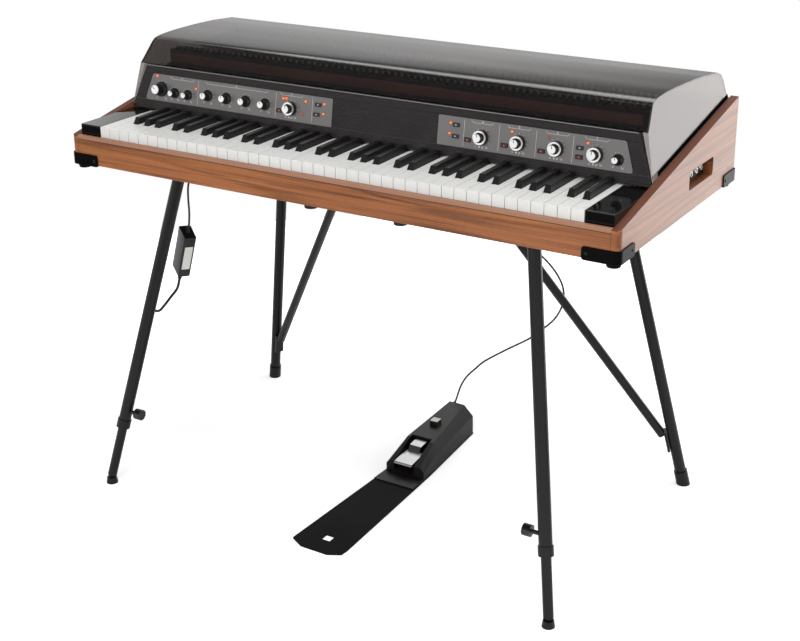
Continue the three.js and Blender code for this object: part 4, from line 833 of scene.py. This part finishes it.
class PIANO_OT_stage(PianoOperator, bpy.types.Operator):
    """Adds the floor, the world and the lamps."""

    bl_idname = "piano.stage"
    bl_label = "Studio"

    def build(self, sizes, finish):
        scene = bpy.context.scene
        scene.view_settings.view_transform = "Standard"
        self.floor(scene.piano_colours)
        self.world(scene)
        self.lamp("front lamp", (0.5, -3.5, 1.9), (0, -0.1, 0.7), (2.6, 1.8), 96)
        self.lamp("top lamp", (0.9, 0.1, 3.4), (0.1, 0, 0.7), (2.4, 1.4), 46)
        self.lamp("right lamp", (2.9, 1.7, 1.5), (0.5, 0.1, 0.75), (2.2, 2.2), 38)

    def floor(self, colours):
        """A round floor that keeps the shadow near the piano and glows white to the camera farther out."""
        ring = np.array([0, 0.4, 0.8, 1.2, 1.5, 1.7])[:, None]
        angle = (np.arange(64) * 2 * math.pi / 64)[None, :]
        points = np.stack([ring * np.cos(angle), ring * np.sin(angle), 0 * ring * angle], axis=-1)
        material, tree, surface, coordinates = start_finish("painted studio floor", {"Roughness": 0.9})
        mottle = add(tree, "TexNoise", {"Vector": coordinates, "Scale": 2.0})
        pale = tuple(colours.floor)
        tint = add(tree, "Mix", {"Factor": mottle.outputs[0], FIRST: pale, SECOND: darker(pale, 0.985)},
                   data_type="RGBA")
        tree.links.new(tint.outputs[MIXED], surface.inputs["Base Color"])
        path = add(tree, "LightPath")
        away = add(tree, "VectorMath", {0: coordinates}, operation="LENGTH")
        glow = add(tree, "MapRange", {
            "Value": away.outputs["Value"], "From Min": 0.6, "From Max": 1.5, "To Min": 0.5, "To Max": 1.0})
        lift = add(tree, "Math", {0: path.outputs["Is Camera Ray"], 1: glow.outputs[0]}, operation="MULTIPLY")
        tree.links.new(lift.outputs[0], surface.inputs["Emission Strength"])
        surface.inputs["Emission Color"].default_value = pale
        mesh = bpy.data.meshes.new("studio_floor")
        faces = quads(*points.shape[:2], round_columns=True)[:, ::-1]
        mesh.from_pydata(points.reshape(-1, 3).tolist(), [], faces.tolist())
        mesh.materials.append(material)
        made = bpy.data.objects.new("studio_floor", mesh)
        bpy.context.scene.collection.objects.link(made)

    def world(self, scene):
        """White to the camera and through the lid, and a soft grey as light. In gloss it is a studio: in
        front a bright strip over the horizon, behind a grey wall that darkens to the right, a long lamp over
        the lid's front crease, and a bright screen behind the piano on the right."""
        scene.world = bpy.data.worlds.new("studio")
        scene.world.use_nodes = True
        tree = scene.world.node_tree
        tree.nodes.clear()
        path = add(tree, "LightPath")
        seen = add(tree, "Math", {0: path.outputs["Is Camera Ray"], 1: path.outputs["Is Transmission Ray"]},
                   operation="MAXIMUM")
        white = add(tree, "Background", {"Color": linear("ffffff"), "Strength": 1.0})
        direction = add(tree, "TexCoord").outputs["Generated"]
        x, y, z = add(tree, "SeparateXYZ", {0: direction}).outputs

        aslant = add(tree, "Math", {0: z, 1: 0.7, 2: x}, operation="MULTIPLY_ADD").outputs[0]
        towards = add(tree, "VectorMath", {0: direction, 1: (0.4, 0.89, -0.2)}, operation="DOT_PRODUCT")
        level = {}
        for name, value, low, high, start, end in (
                ("strip", z, 0.18, 0.36, 1.5, 0.05), ("ground", z, -0.14, -0.06, 0.04, 1.0),
                ("grey", aslant, -0.34, -0.16, 0.6, 0.18), ("height", z, 0.4, 0.48, 1.0, 0.25),
                ("left", x, -0.69, -0.65, 2.2, 1.0), ("long lamp", z, 0.48, 0.57, 0.0, 3.0),
                ("lamp end", x, -0.61, -0.57, 0.0, 1.0), ("behind", y, 0.05, 0.3, 0.0, 1.0),
                ("screen", towards.outputs["Value"], 0.86, 0.93, 0.0, 2.5)):
            level[name] = add(tree, "MapRange", {
                "Value": value, "From Min": low, "From Max": high, "To Min": start, "To Max": end}).outputs[0]
        for name, operation, first, second in (
                ("front", "MULTIPLY", "strip", "ground"), ("wall", "MULTIPLY", "grey", "height"),
                ("wall", "MULTIPLY", "wall", "left"), ("tube", "MULTIPLY", "long lamp", "lamp end"),
                ("rear", "ADD", "wall", "tube")):
            level[name] = add(tree, "Math", {0: level[first], 1: level[second]}, operation=operation).outputs[0]
        sky = add(tree, "Mix", {"Factor": level["behind"], "A": level["front"], "B": level["rear"]})
        whole_sky = add(tree, "Math", {0: sky.outputs[0], 1: level["screen"]}, operation="ADD")
        mirrored = add(tree, "Background", {"Color": linear("ffffff"), "Strength": whole_sky.outputs[0]})
        ambient = add(tree, "Background", {"Color": linear("ffffff"), "Strength": 0.42})
        lit = add(tree, "MixShader", {
            0: path.outputs["Is Glossy Ray"], 1: ambient.outputs[0], 2: mirrored.outputs[0]})
        whole = add(tree, "MixShader", {0: seen.outputs[0], 1: lit.outputs[0], 2: white.outputs[0]})
        add(tree, "OutputWorld", {"Surface": whole.outputs[0]})

    def lamp(self, name, position, target, size, power):
        """A softbox that looks at a target. Neither the camera nor gloss shows it."""
        light = bpy.data.lights.new(name, "AREA")
        light.shape = "RECTANGLE"
        light.size, light.size_y = size
        light.energy = power
        made = bpy.data.objects.new(name, light)
        along = unit(np.subtract(position, target))
        side = unit(np.cross((0, 0, 1), along))
        turn = np.eye(4)
        turn[:3, :3] = np.column_stack([side, np.cross(along, side), along])
        turn[:3, 3] = position
        made.matrix_world = Matrix(turn.tolist())
        made.visible_camera = False
        made.visible_glossy = False
        bpy.context.scene.collection.objects.link(made)


class PIANO_OT_case(PianoOperator, bpy.types.Operator):
    """Adds the walnut case, its metal corners, the glossy end blocks and the jack field."""

    bl_idname = "piano.case"
    bl_label = "Case"

    def build(self, sizes, finish):
        edge = sizes.wood_edge
        from_solid("front_rail", finish["front_walnut"], bevel=edge)
        self.rail_edge(finish)
        for side in ("left", "right"):
            from_solid(f"{side}_side_panel", finish["side_walnut"], bevel=edge, zones=[
                # The top edges get the darker walnut: painted shade.
                (finish["shaded_top_edge"], lambda middle: middle[2] > side_top(middle[1]) - 1),
                (finish["front_walnut"], lambda middle: middle[1] < 1)])
        from_solid("back_panel", finish["front_walnut"], bevel=edge)
        from_solid("base_board", finish["rubber"])
        for side in ("left", "right"):
            from_solid(f"{side}_cheek_block", finish["gloss_black"], bevel=sizes.gloss_edge)
            for end in ("front", "rear"):
                from_solid(f"{end}_{side}_corner_bracket", finish["corner"],
                           bevel=sizes.metal_edge, angle=40)
        self.bracket_screws(finish)
        self.jack_field(finish)

    def rail_edge(self, finish):
        """The solid, rounded top edge of the front rail, the dark band under it that paints a groove's shade,
        and the veneer's start.
        """
        strip = rounded([(-11.4, -26.4, 0.4), (-11.4, -19.6, 5), (-1.1, -19.6, 1), (-1.1, -26.4, 0)], 6)
        joint = [(-11.3, -27.9), (-11.3, -26.4), (-2, -26.4), (-2, -27.9)]
        foot = [(-11.4, -31.9), (-11.4, -27.9), (-2, -27.9), (-2, -31.9)]
        parts = [(prism(strip, -556, 556, ACROSS), finish["rail_edge"]),
                 (prism(joint, -555.5, 555.5, ACROSS), finish["joint"]),
                 (prism(foot, -555.5, 555.5, ACROSS), finish["front_walnut"])]
        piece("rail_edge", parts, slot="walnut", angle=40)

    def bracket_screws(self, finish):
        """A domed screw in the front of both front corners, and one in the side of all four."""
        head = [(0, 0.45), (0.9, 0.45), (1.1, 1.0), (2.2, 0.8), (3, 0.1), (3, -0.3), (0, -0.3)][::-1]
        front, outer = -13.5, 573.55
        seats = [((side * 515.5, front, -66), (0, -1, 0)) for side in (-1, 1)]
        seats += [((side * outer, y, -66), (side, 0, 0)) for y in (38, 464) for side in (-1, 1)]
        parts = [(lathe(head, seat, axis, 20), finish["steel"]) for seat, axis in seats]
        piece("corner_screws", parts, slot="bracket_metal")

    def jack_field(self, finish):
        """A dark plate in the side panel's recess with four ringed sockets."""
        recess, thickness = 18, 1.2
        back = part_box("right_side_panel")[1].x * 1000 - recess
        face = back + thickness
        parts = [(prism(rectangle(283, -35, 396, -4, 5), back, face, ACROSS), finish["steel"])]
        nut = [(0, 0), (3.2, 0), (3.2, 3.4), (3.8, 3.9), (4.8, 3.9), (5.6, 3.1), (6.4, 1.6), (6.4, 0)][::-1]
        parts += [(lathe(nut, (face, y, -19.5), (1, 0, 0), 32), finish["cap"]) for y in (303, 327, 352, 376)]
        piece("jack_plate", parts, slot="bracket_metal")


def edge_x(edge):
    """The place of an edge between two white keys."""
    return edge * KEY_PITCH - HALF_FIELD


def has_black(edge):
    """Whether a black key stands over this edge. White keys count from E."""
    return 0 < edge < WHITE_COUNT and edge % 7 in BLACK_SHIFT


def black_x(edge):
    """The middle of the black key over an edge."""
    return edge_x(edge) + BLACK_SHIFT[edge % 7]


def white_key(index):
    """The outline of a white key, cut back beside its black keys, drawn out over its thickness."""
    left, right = edge_x(index) + KEY_GAP / 2, edge_x(index + 1) - KEY_GAP / 2
    reach = BLACK_WIDTH / 2 + CLEARANCE
    neck_left = black_x(index) + reach if has_black(index) else left
    neck_right = black_x(index + 1) - reach if has_black(index + 1) else right
    middle = (neck_left + neck_right) / 2
    neck_front = HEAD_LENGTH - CLEARANCE
    neck_back = HEAD_LENGTH + BLACK_LENGTH + CLEARANCE
    half = STICK_WIDTH / 2
    outline = [(left, 0), (right, 0), (right, neck_front), (neck_right, neck_front), (neck_right, neck_back),
               (middle + half, neck_back), (middle + half, KEY_LENGTH), (middle - half, KEY_LENGTH),
               (middle - half, neck_back), (neck_left, neck_back), (neck_left, neck_front), (left, neck_front)]
    corners = np.array(outline)
    apart = np.linalg.norm(corners - np.roll(corners, 1, axis=0), axis=1)
    return prism(corners[apart > 1e-6], -WHITE_THICKNESS, 0)


def key_front(index):
    """The lip under the front edge of a white key."""
    left, right = edge_x(index) + KEY_GAP / 2, edge_x(index + 1) - KEY_GAP / 2
    return box((left, 0.05, -KEY_LIP), (right, 3, 1 - WHITE_THICKNESS))


def black_key(edge):
    """A black key: a grid of sections from its slanted front to its back. Its side walls lean in towards
    the top, and the top corners turn on an arc."""
    x = black_x(edge)
    corner, foot = 1.3, -4
    arc = np.linspace(math.pi / 2, 0, 5)
    right = np.column_stack([BLACK_TOP / 2 - corner + corner * np.sin(arc),
                             BLACK_HEIGHT - corner + corner * np.cos(arc)])
    left = right[::-1] * (-1, 1)
    section = np.vstack([[(BLACK_WIDTH / 2, foot)], right, left, [(-BLACK_WIDTH / 2, foot)]])
    lift = (section[:, 1] - foot) / (BLACK_HEIGHT - foot)
    depth = np.array([0, 0.04, 0.5, 1.0])[:, None]
    start = HEAD_LENGTH + BLACK_SLOPE * lift[None, :]
    y = start + (HEAD_LENGTH + BLACK_LENGTH - start) * depth
    points = np.stack([np.broadcast_to(x + section[:, 0], y.shape), y,
                       np.broadcast_to(section[:, 1], y.shape)], axis=-1).reshape(-1, 3)
    rows, count = len(depth), len(section)
    faces = quads(rows, count, round_columns=True).tolist()
    faces += [list(range(count))[::-1], list(range((rows - 1) * count, rows * count))]
    return points, faces


def black_stick(edge):
    """The wooden stick that carries a black key's cap."""
    half = BLACK_WIDTH / 2 - 1.6
    x = black_x(edge)
    return box((x - half, HEAD_LENGTH + 2, -WHITE_THICKNESS), (x + half, KEY_LENGTH, -3))


class PIANO_OT_keys(PianoOperator, bpy.types.Operator):
    """Adds the seventy-three keys and the frame that they stand on."""

    bl_idname = "piano.keys"
    bl_label = "Keyboard"

    def build(self, sizes, finish):
        whites = {index: [(maker(index), finish["white_key"]) for maker in (white_key, key_front)]
                  for index in range(WHITE_COUNT)}
        blacks = {edge: [(maker(edge), finish["black_key"]) for maker in (black_key, black_stick)]
                  for edge in range(WHITE_COUNT) if has_black(edge)}
        for name, keys, moving, slot, edges in (
                ("white_keys", whites, MOVING_WHITES, "ivory", {"bevel": sizes.key_edge}),
                ("black_keys", blacks, MOVING_BLACKS, "ebony", {"angle": 40})):
            fixed = [part for number, parts in keys.items() if number not in moving for part in parts]
            piece(name, fixed, slot=slot, **edges)
            for number, node in moving.items():
                piece(f"{node}_finish", keys[number], node, slot, [node], **edges)
        half = HALF_FIELD - 0.6
        bed = [box((-half, 8.3, -63.2), (half, 260, -52.2)), box((-half, 22, -52.5), (half, 44, -31)),
               box((-half, PIVOT_DEPTH - 13, -52.5), (half, PIVOT_DEPTH + 13, -23)),
               box((-half, PIVOT_DEPTH - 1.6, -24), (half, PIVOT_DEPTH + 1.6, -18.3))]
        piece("key_frame_rails", [(part, finish["harp_wood"]) for part in bed], slot="ivory",
              replaces=["key_frame_with_fixed_keys"], bevel=sizes.wood_edge)


class PIANO_OT_panel(PianoOperator, bpy.types.Operator):
    """Adds the ribbed control panel, its plates, print, lamps and fixed buttons."""

    bl_idname = "piano.panel"
    bl_label = "Control panel"

    def build(self, sizes, finish):
        from_solid("control_panel", finish["vinyl"], bevel=sizes.metal_edge)
        for side in ("left", "right"):
            from_solid(f"{side}_control_plate", finish["plate"])
        self.ribs(sizes, finish)
        self.print(sizes, finish)
        self.lamps(finish)
        self.selectors(finish)

    def ribs(self, sizes, finish):
        """The ribbed cover: fields of horizontal ribs. Up the slope, each field stands out by a raised
        cosine of the rib pitch, and its ends follow the panel's or the plates' sloping ends."""
        pitch, height = sizes.rib_pitch * 1000, sizes.rib_height * 1000

        def panel_end(slope):
            """Where the cover ends on the right, a little inside the panel's end."""
            share = slope / PANEL_HEIGHT
            return PANEL_LOW_HALF + (PANEL_TOP_HALF - PANEL_LOW_HALF) * share - 1.2

        def plate_end(slope):
            """Where the right plate ends, with a gap for the cover."""
            share = (slope - PLATE_LOW) / (PLATE_HIGH - PLATE_LOW)
            return PLATE_LOW_HALF + (PLATE_HIGH_HALF - PLATE_LOW_HALF) * share + 0.4

        def field(low, high, left, right):
            """The ribs between two slopes, and between two ends that depend on the slope."""
            slope = np.arange(low, high, pitch / 8)
            out = height * (0.5 - 0.5 * np.cos(2 * math.pi * slope / pitch))
            out[0] = out[-1] = 0.02
            ends = np.column_stack([left(slope) + 0 * slope, right(slope) + 0 * slope])
            grid = np.stack([ends, np.repeat(slope[:, None], 2, axis=1), np.repeat(out[:, None], 2, axis=1)],
                            axis=-1)
            return on_panel(grid.reshape(-1, 3)), quads(len(slope), 2)

        fields = [
            field(0.6, PLATE_LOW - 0.2, lambda s: -panel_end(s), panel_end),
            field(PLATE_HIGH + 0.2, PANEL_HEIGHT - 2.2, lambda s: -panel_end(s), panel_end),
            field(PLATE_LOW, PLATE_HIGH, lambda s: PLATE_INNER_ENDS[0], lambda s: PLATE_INNER_ENDS[1]),
            field(PLATE_LOW, PLATE_HIGH, lambda s: -panel_end(s), lambda s: -plate_end(s)),
            field(PLATE_LOW, PLATE_HIGH, plate_end, panel_end),
        ]
        piece("ribbed_cover", [(part, finish["vinyl"]) for part in fields], slot="panel_vinyl", closed=False,
              angle=60)
        # A pale rod along the panel's top edge: a painted highlight on that edge.
        half = panel_end(PANEL_HEIGHT)
        rod = [(0, -half), (0.7, -half), (0.7, half), (0, half)]
        bead = lathe(rod, (0, PANEL_HEIGHT - 1, 0.3), (1, 0, 0), 12)
        piece("panel_bead", [(turned(bead, on_panel), finish["bead"])], slot="panel_vinyl")

    def print(self, sizes, finish):
        """Scale marks, dividers, section brackets and numbers, printed on the plates."""
        width = sizes.print_width * 1000
        low, high = PLATE_FACE - 0.05, PLATE_FACE + 0.06
        starts, ends = [], []
        for _, kind, x, rise, _ in KNOBS:
            centre = np.array([x, slope_at(rise)])
            reach = KNOB_KINDS[kind]["radius"] + 2
            angle = np.radians(np.linspace(-60, 240, 11))
            way = np.column_stack([np.cos(angle), np.sin(angle)])
            starts.append(centre + way * reach)
            ends.append(centre + way * (reach + 2))
        lines = [((x, PLATE_LOW + 3), (x, PLATE_HIGH - 3)) for x in DIVIDERS]
        for x, span in SECTIONS:
            high_line, low_line = PLATE_HIGH - 2.5, PLATE_HIGH - 6
            left, right = x - span / 2, x + span / 2
            lines += [((left, high_line), (left + 4, low_line)), ((left + 4, low_line), (right - 4, low_line)),
                      ((right - 4, low_line), (right, high_line))]
        starts.append([line[0] for line in lines])
        ends.append([line[1] for line in lines])
        marks = strokes(np.vstack(starts), np.vstack(ends), width, low, high)
        parts = [(turned(marks, on_panel), finish["print"])]
        parts += [(self.number(str(count), x, PLATE_HIGH - 5, 4.2), finish["print"])
                  for count, (x, _) in enumerate(SECTIONS, 1)]
        dot = [(0, low), (1.5, low), (1.5, high), (0, high)]
        ring = [(1.2, low), (1.9, low), (1.9, high), (1.2, high), (1.2, low)]
        for _, kind, x, rise, _ in KNOBS:
            reach = KNOB_KINDS[kind]["radius"] + 3.5
            base = slope_at(rise) - reach
            parts += [(self.number(text, x + side * reach * 0.62, base - 1.6, 3.6), finish["print"])
                      for text, side in (("0", -1), ("10", 1))]
            if KNOB_KINDS[kind]["ring"]:
                parts += [(turned(lathe(mark, (x + step, base, 0), (0, 0, 1), 16), on_panel), finish["print"])
                          for mark, step in ((dot, -3), (ring, 3))]
        piece("plate_print", parts, slot="plate_grey")

    def number(self, text, x, slope, height):
        """A number as thin mesh, from Blender's own font, centred at a place on the panel. The font's digits
        are 1 / 1.38 of its size high."""
        curve = bpy.data.curves.new("number", "FONT")
        curve.body = text
        curve.size = height * 1.38
        curve.align_x = "CENTER"
        curve.resolution_u = 2
        curve.extrude = 0.05
        scratch = bpy.data.objects.new("number", curve)
        bpy.context.scene.collection.objects.link(scratch)
        bpy.context.view_layer.update()
        mesh = bpy.data.meshes.new_from_object(scratch.evaluated_get(bpy.context.evaluated_depsgraph_get()))
        points = np.empty(len(mesh.vertices) * 3)
        mesh.vertices.foreach_get("co", points)
        points = points.reshape(-1, 3) + (x, slope, PLATE_FACE + 0.02)
        faces = [list(face.vertices) for face in mesh.polygons]
        bpy.data.objects.remove(scratch)
        bpy.data.meshes.remove(mesh)
        bpy.data.curves.remove(curve)
        return on_panel(points), faces

    def lamps(self, finish):
        """Small domed lamps with a dark bezel."""
        dome = [(0, 1.7), (0.8, 1.55), (1.4, 1.1), (1.7, 0.4), (1.7, -0.4), (0, -0.4)][::-1]
        bezel = [(1.7, -0.3), (2.6, -0.3), (2.6, 0.1), (2.2, 0.5), (1.7, 0.5), (1.7, -0.3)]
        parts = []
        for places, lens in ((LIT, finish["lamp"]), (DIM, finish["dim_lamp"])):
            for x, rise in places:
                start = (x, slope_at(rise), PLATE_FACE)
                parts += [(turned(lathe(profile, start, (0, 0, 1), 20), on_panel), material)
                          for profile, material in ((dome, lens), (bezel, finish["plastic"]))]
        piece("indicator_lamps", parts, slot="plate_grey", angle=50)

    def selectors(self, finish):
        """Flat selector buttons that don't travel, each with a white dot."""
        parts = []
        for x, rise in SELECTORS:
            parts += button_parts(x, rise, finish["plastic"], finish["print"], PLATE_FACE - 0.1)
        piece("selector_buttons", parts, slot="button_black", bevel=0.0004)


def button_parts(x, rise, black, dot, low):
    """A rounded key of a button, from below the plate's face, with a small dot on it."""
    wide, high = (size / 2 for size in BUTTON_SIZE)
    y = slope_at(rise)
    outline = rectangle(x - wide, y - high, x + wide, y + high, 1.5)
    face = PLATE_FACE + 2
    disc = [(0, face - 0.2), (1.2, face - 0.2), (1.2, face + 0.1), (0.8, face + 0.3), (0, face + 0.35)]
    return [(turned(prism(outline, low, face), on_panel), black),
            (turned(lathe(disc, (x, y, 0), (0, 0, 1), 16), on_panel), dot)]


class PIANO_OT_controls(PianoOperator, bpy.types.Operator):
    """Adds the thirteen knobs and the five travelling buttons."""

    bl_idname = "piano.controls"
    bl_label = "Knobs and buttons"

    def build(self, sizes, finish):
        for name, kind, x, rise, pointer in KNOBS:
            self.knob(finish, name, KNOB_KINDS[kind], x, slope_at(rise), math.radians(pointer))
        for name, x, rise in BUTTONS:
            parts = button_parts(x, rise, finish["plastic"], finish["dim_lamp"], -1.8)
            piece(f"{name}_cap", parts, name, "button_black", [name], bevel=0.0004)

    def knob(self, finish, name, kind, x, y, pointer):
        """A turned knob: a skirt, a fluted waist and a metal cap with a dark line towards its mark."""
        radius, skirt, cap, height = kind["radius"], kind["skirt"], kind["cap"], kind["height"]
        start = (x, y, KNOB_BASE)
        profile = [(0, 0), (radius, 0), (radius, skirt - 1.6), (radius - 0.4, skirt - 0.6),
                   (radius - 1.6, skirt), (cap + 1.6, skirt + 0.2), (cap + 0.6, skirt + 1.0, 1),
                   (cap, skirt + 2.2, 1), (cap - 0.1, height - 1.6, 1), (cap - 0.3, height - 0.7),
                   (cap - 0.8, height - 0.5), (0, height - 0.5)]
        disc = [(0, height - 0.6), (cap - 0.5, height - 0.6), (cap - 0.5, height - 0.2), (cap - 0.9, height),
                (0, height)]
        parts = [
            (turned(lathe(profile, start, (0, 0, 1), 48, 16, kind["flutes"]), on_panel), finish["plastic"]),
            (turned(lathe(disc, start, (0, 0, 1), 32), on_panel), finish["cap"]),
        ]
        if kind["ring"]:
            ring = [(cap + 1.4, skirt - 0.2), (radius - 0.3, skirt - 0.2), (radius - 0.5, skirt + 0.8),
                    (radius - 1, skirt + 1.1), (cap + 1.4, skirt + 1.1), (cap + 1.4, skirt - 0.2)]
            parts.append((turned(lathe(ring, start, (0, 0, 1), 40), on_panel), finish["cap"]))
        way = np.array([math.cos(pointer), math.sin(pointer)])
        centre = np.array([x, y])
        top = KNOB_BASE + height
        line = strokes([centre + way * cap * 0.15], [centre + way * (cap - 1.4)], 1.3, top - 0.3, top + 0.05)
        parts.append((turned(line, on_panel), finish["plastic"]))
        piece(f"{name}_cap", parts, name, "knob_black", [name], angle=20)


def cut_at_side_top(work, rise):
    """Cuts a mesh with the plane through both side panels' top lines, moved up by a rise."""
    bmesh.ops.bisect_plane(work, geom=[*work.verts, *work.edges, *work.faces], dist=1e-6,
                           plane_co=place((0, 0, side_top(0) + rise)),
                           plane_no=(0, side_top(0) - side_top(1), 1))


def lean_of_lid(y, z):
    """How far the lid's end stands in from its widest place: it leans in above the side panels' top line."""
    foot = side_top(y) - LID_FOLD
    return LID_INSET * np.maximum(z - foot, 0) / (LID_RISE - side_top(LID_CREASE) + LID_FOLD)


def lean_ends(x, y, z):
    """A point of the lid, whose ends lean in from the side panels' top line and not from one height."""
    inside = LID_HALF - LID_INSET / LID_RISE * max(z, 0) - abs(x)
    if inside > 12:
        return x, y, z
    return math.copysign(LID_HALF - lean_of_lid(y, z) - inside, x), y, z


class PIANO_OT_lid(PianoOperator, bpy.types.Operator):
    """Adds the smoked lid and what shows through it."""

    bl_idname = "piano.lid"
    bl_label = "Lid and harp"

    def build(self, sizes, finish):
        crease_width = 5.5
        # The lid's ends get the paler, less clear acrylic: painted light for the bright reflection on them.
        from_solid("lid", finish["acrylic"], "lid", bevel=0.0015, angle=25,
                   zones=[(finish["lid_end"], lambda middle: abs(middle[0]) > 500)],
                   crease=(crease_width, lambda point: LID_CREASE - 1 < point[1] < LID_CREASE + 3.5
                           and LID_RISE - 4.8 < point[2] < LID_RISE + 0.7), leaning=True)
        self.edging(finish)
        # The harp and the rail's end brackets take the near-black harp steel: painted shade for the inside of
        # the lid.
        from_solid("harp", finish["shaded_harp_steel"])
        rail = prism(rectangle(219, 84, 229, 101, 2), -505, 505, ACROSS)
        felt = prism(rounded([(197, 66, 2), (213, 66, 2), (213, 80, 3), (197, 80, 3)]), -500, 500, ACROSS)
        parts = [(rail, finish["harp_wood"]), (felt, finish["felt"])]
        parts += [(box((x - 1.5, 205, 68), (x + 1.5, 234, 84.5)), finish["shaded_harp_steel"]) for x in (-504, 504)]
        piece("damper_rail", parts, slot="harp_metal")
        self.bar_screws(finish)

    def bar_screws(self, finish):
        """Two sprung screws on each tone bar of the harp."""
        spring = [(0, 0), (2.1, 0), (2.6, 1), (2.1, 2), (2.6, 3), (2.1, 4), (2.6, 5), (2.1, 6), (1.2, 6.4)]
        head = [(1.2, 6.4), (2.9, 6.4), (3.1, 7), (3.1, 9), (2.6, 9.8), (0, 9.8)]
        note = np.arange(HARP_NOTES)
        x = (note + 0.5) * 2 * HARP_HALF / HARP_NOTES - HARP_HALF
        rear = HARP_FRONT + HARP_BASS + (HARP_TREBLE - HARP_BASS) * note / (HARP_NOTES - 1)
        parts = [(lathe(spring + head, (at, y, HARP_TOP - 0.2), (0, 0, 1), 10), finish["harp_screw"])
                 for at, back in zip(x, rear) for y in (HARP_FRONT + 6, back - 9)]
        piece("bar_screws", parts, slot="harp_metal", angle=60)

    def edging(self, finish):
        """A black band along the foot of the lid's right and left walls, on their outer faces: painted shade
        for the dark gap between the lid and the side panels.
        """
        y = np.array([LID_FRONT, LID_BACK])
        parts = []
        for side in (-1, 1):
            grid = []
            for rise in (0.6, 8.0):
                z = side_top(y) + rise
                x = side * (LID_HALF - lean_of_lid(y, z) + 0.3)
                grid.append(np.column_stack([x, y, z]))
            parts.append(((np.vstack(grid), [[0, 1, 3, 2]]), finish["seal"]))
        piece("lid_edging", parts, "lid", "lid_smoked", closed=False)


class PIANO_OT_stand(PianoOperator, bpy.types.Operator):
    """Adds the four legs, the braces and the clamps."""

    bl_idname = "piano.stand"
    bl_label = "Stand"

    def build(self, sizes, finish):
        for side in ("left", "right"):
            extension, clamp = f"front_{side}_leg_extension", f"{side}_clamp_knob"
            for node, body, material in (
                    (f"front_{side}_leg", "case", "steel"), (extension, extension, "steel"),
                    (f"rear_{side}_leg", "case", "steel"), (f"{side}_brace", "case", "steel"),
                    (clamp, clamp, "plastic")):
                from_solid(node, finish[material], body, angle=32)


class PIANO_OT_pedal(PianoOperator, bpy.types.Operator):
    """Adds the sustain pedal and its lever."""

    bl_idname = "piano.pedal"
    bl_label = "Pedal"

    def build(self, sizes, finish):
        from_solid("pedal_base", finish["pedal"], bevel=sizes.metal_edge, angle=14,
                   zones=[(finish["mat"], lambda middle: middle[1] < MAT_BACK)])
        from_solid("pedal_lever", finish["chrome"], "pedal_lever", bevel=0.0012)
        x, y, top, half = PEDAL_BADGE
        plate = rectangle(x - half, y - half, x + half, y + half, 1)
        piece("pedal_badge_plate", [(prism(plate, top, top + 0.6), finish["print"])], slot="pedal_black")


class PIANO_PT_pieces(bpy.types.Panel):
    """Lists the piano's operators and settings."""

    bl_idname = "PIANO_PT_pieces"
    bl_label = "Electric piano"
    bl_space_type = "VIEW_3D"
    bl_region_type = "UI"
    bl_category = "Piano"

    def draw(self, context):
        """Draws a button for each operator and a field for each setting."""
        for step in STEPS:
            self.layout.operator(step.bl_idname)
        for group in (context.scene.piano_sizes, context.scene.piano_colours):
            for field in group.__annotations__:
                self.layout.prop(group, field)


STEPS = (
    PIANO_OT_camera, PIANO_OT_leads, PIANO_OT_stage, PIANO_OT_case, PIANO_OT_keys, PIANO_OT_panel,
    PIANO_OT_controls, PIANO_OT_lid, PIANO_OT_stand, PIANO_OT_pedal,
)
CLASSES = (PianoColours, PianoSizes, *STEPS, PIANO_PT_pieces)


def register():
    """Makes the classes and the scene's settings known to Blender."""
    for kind in CLASSES:
        bpy.utils.register_class(kind)
    bpy.types.Scene.piano_colours = bpy.props.PointerProperty(type=PianoColours)
    bpy.types.Scene.piano_sizes = bpy.props.PointerProperty(type=PianoSizes)


def unregister():
    """Takes back what register did, in the opposite order."""
    del bpy.types.Scene.piano_sizes
    del bpy.types.Scene.piano_colours
    for kind in reversed(CLASSES):
        bpy.utils.unregister_class(kind)


def main():
    """Builds every piece."""
    register()
    for step in STEPS:
        group, name = step.bl_idname.split(".")
        getattr(getattr(bpy.ops, group), name)()


if __name__ == "__main__":
    main()
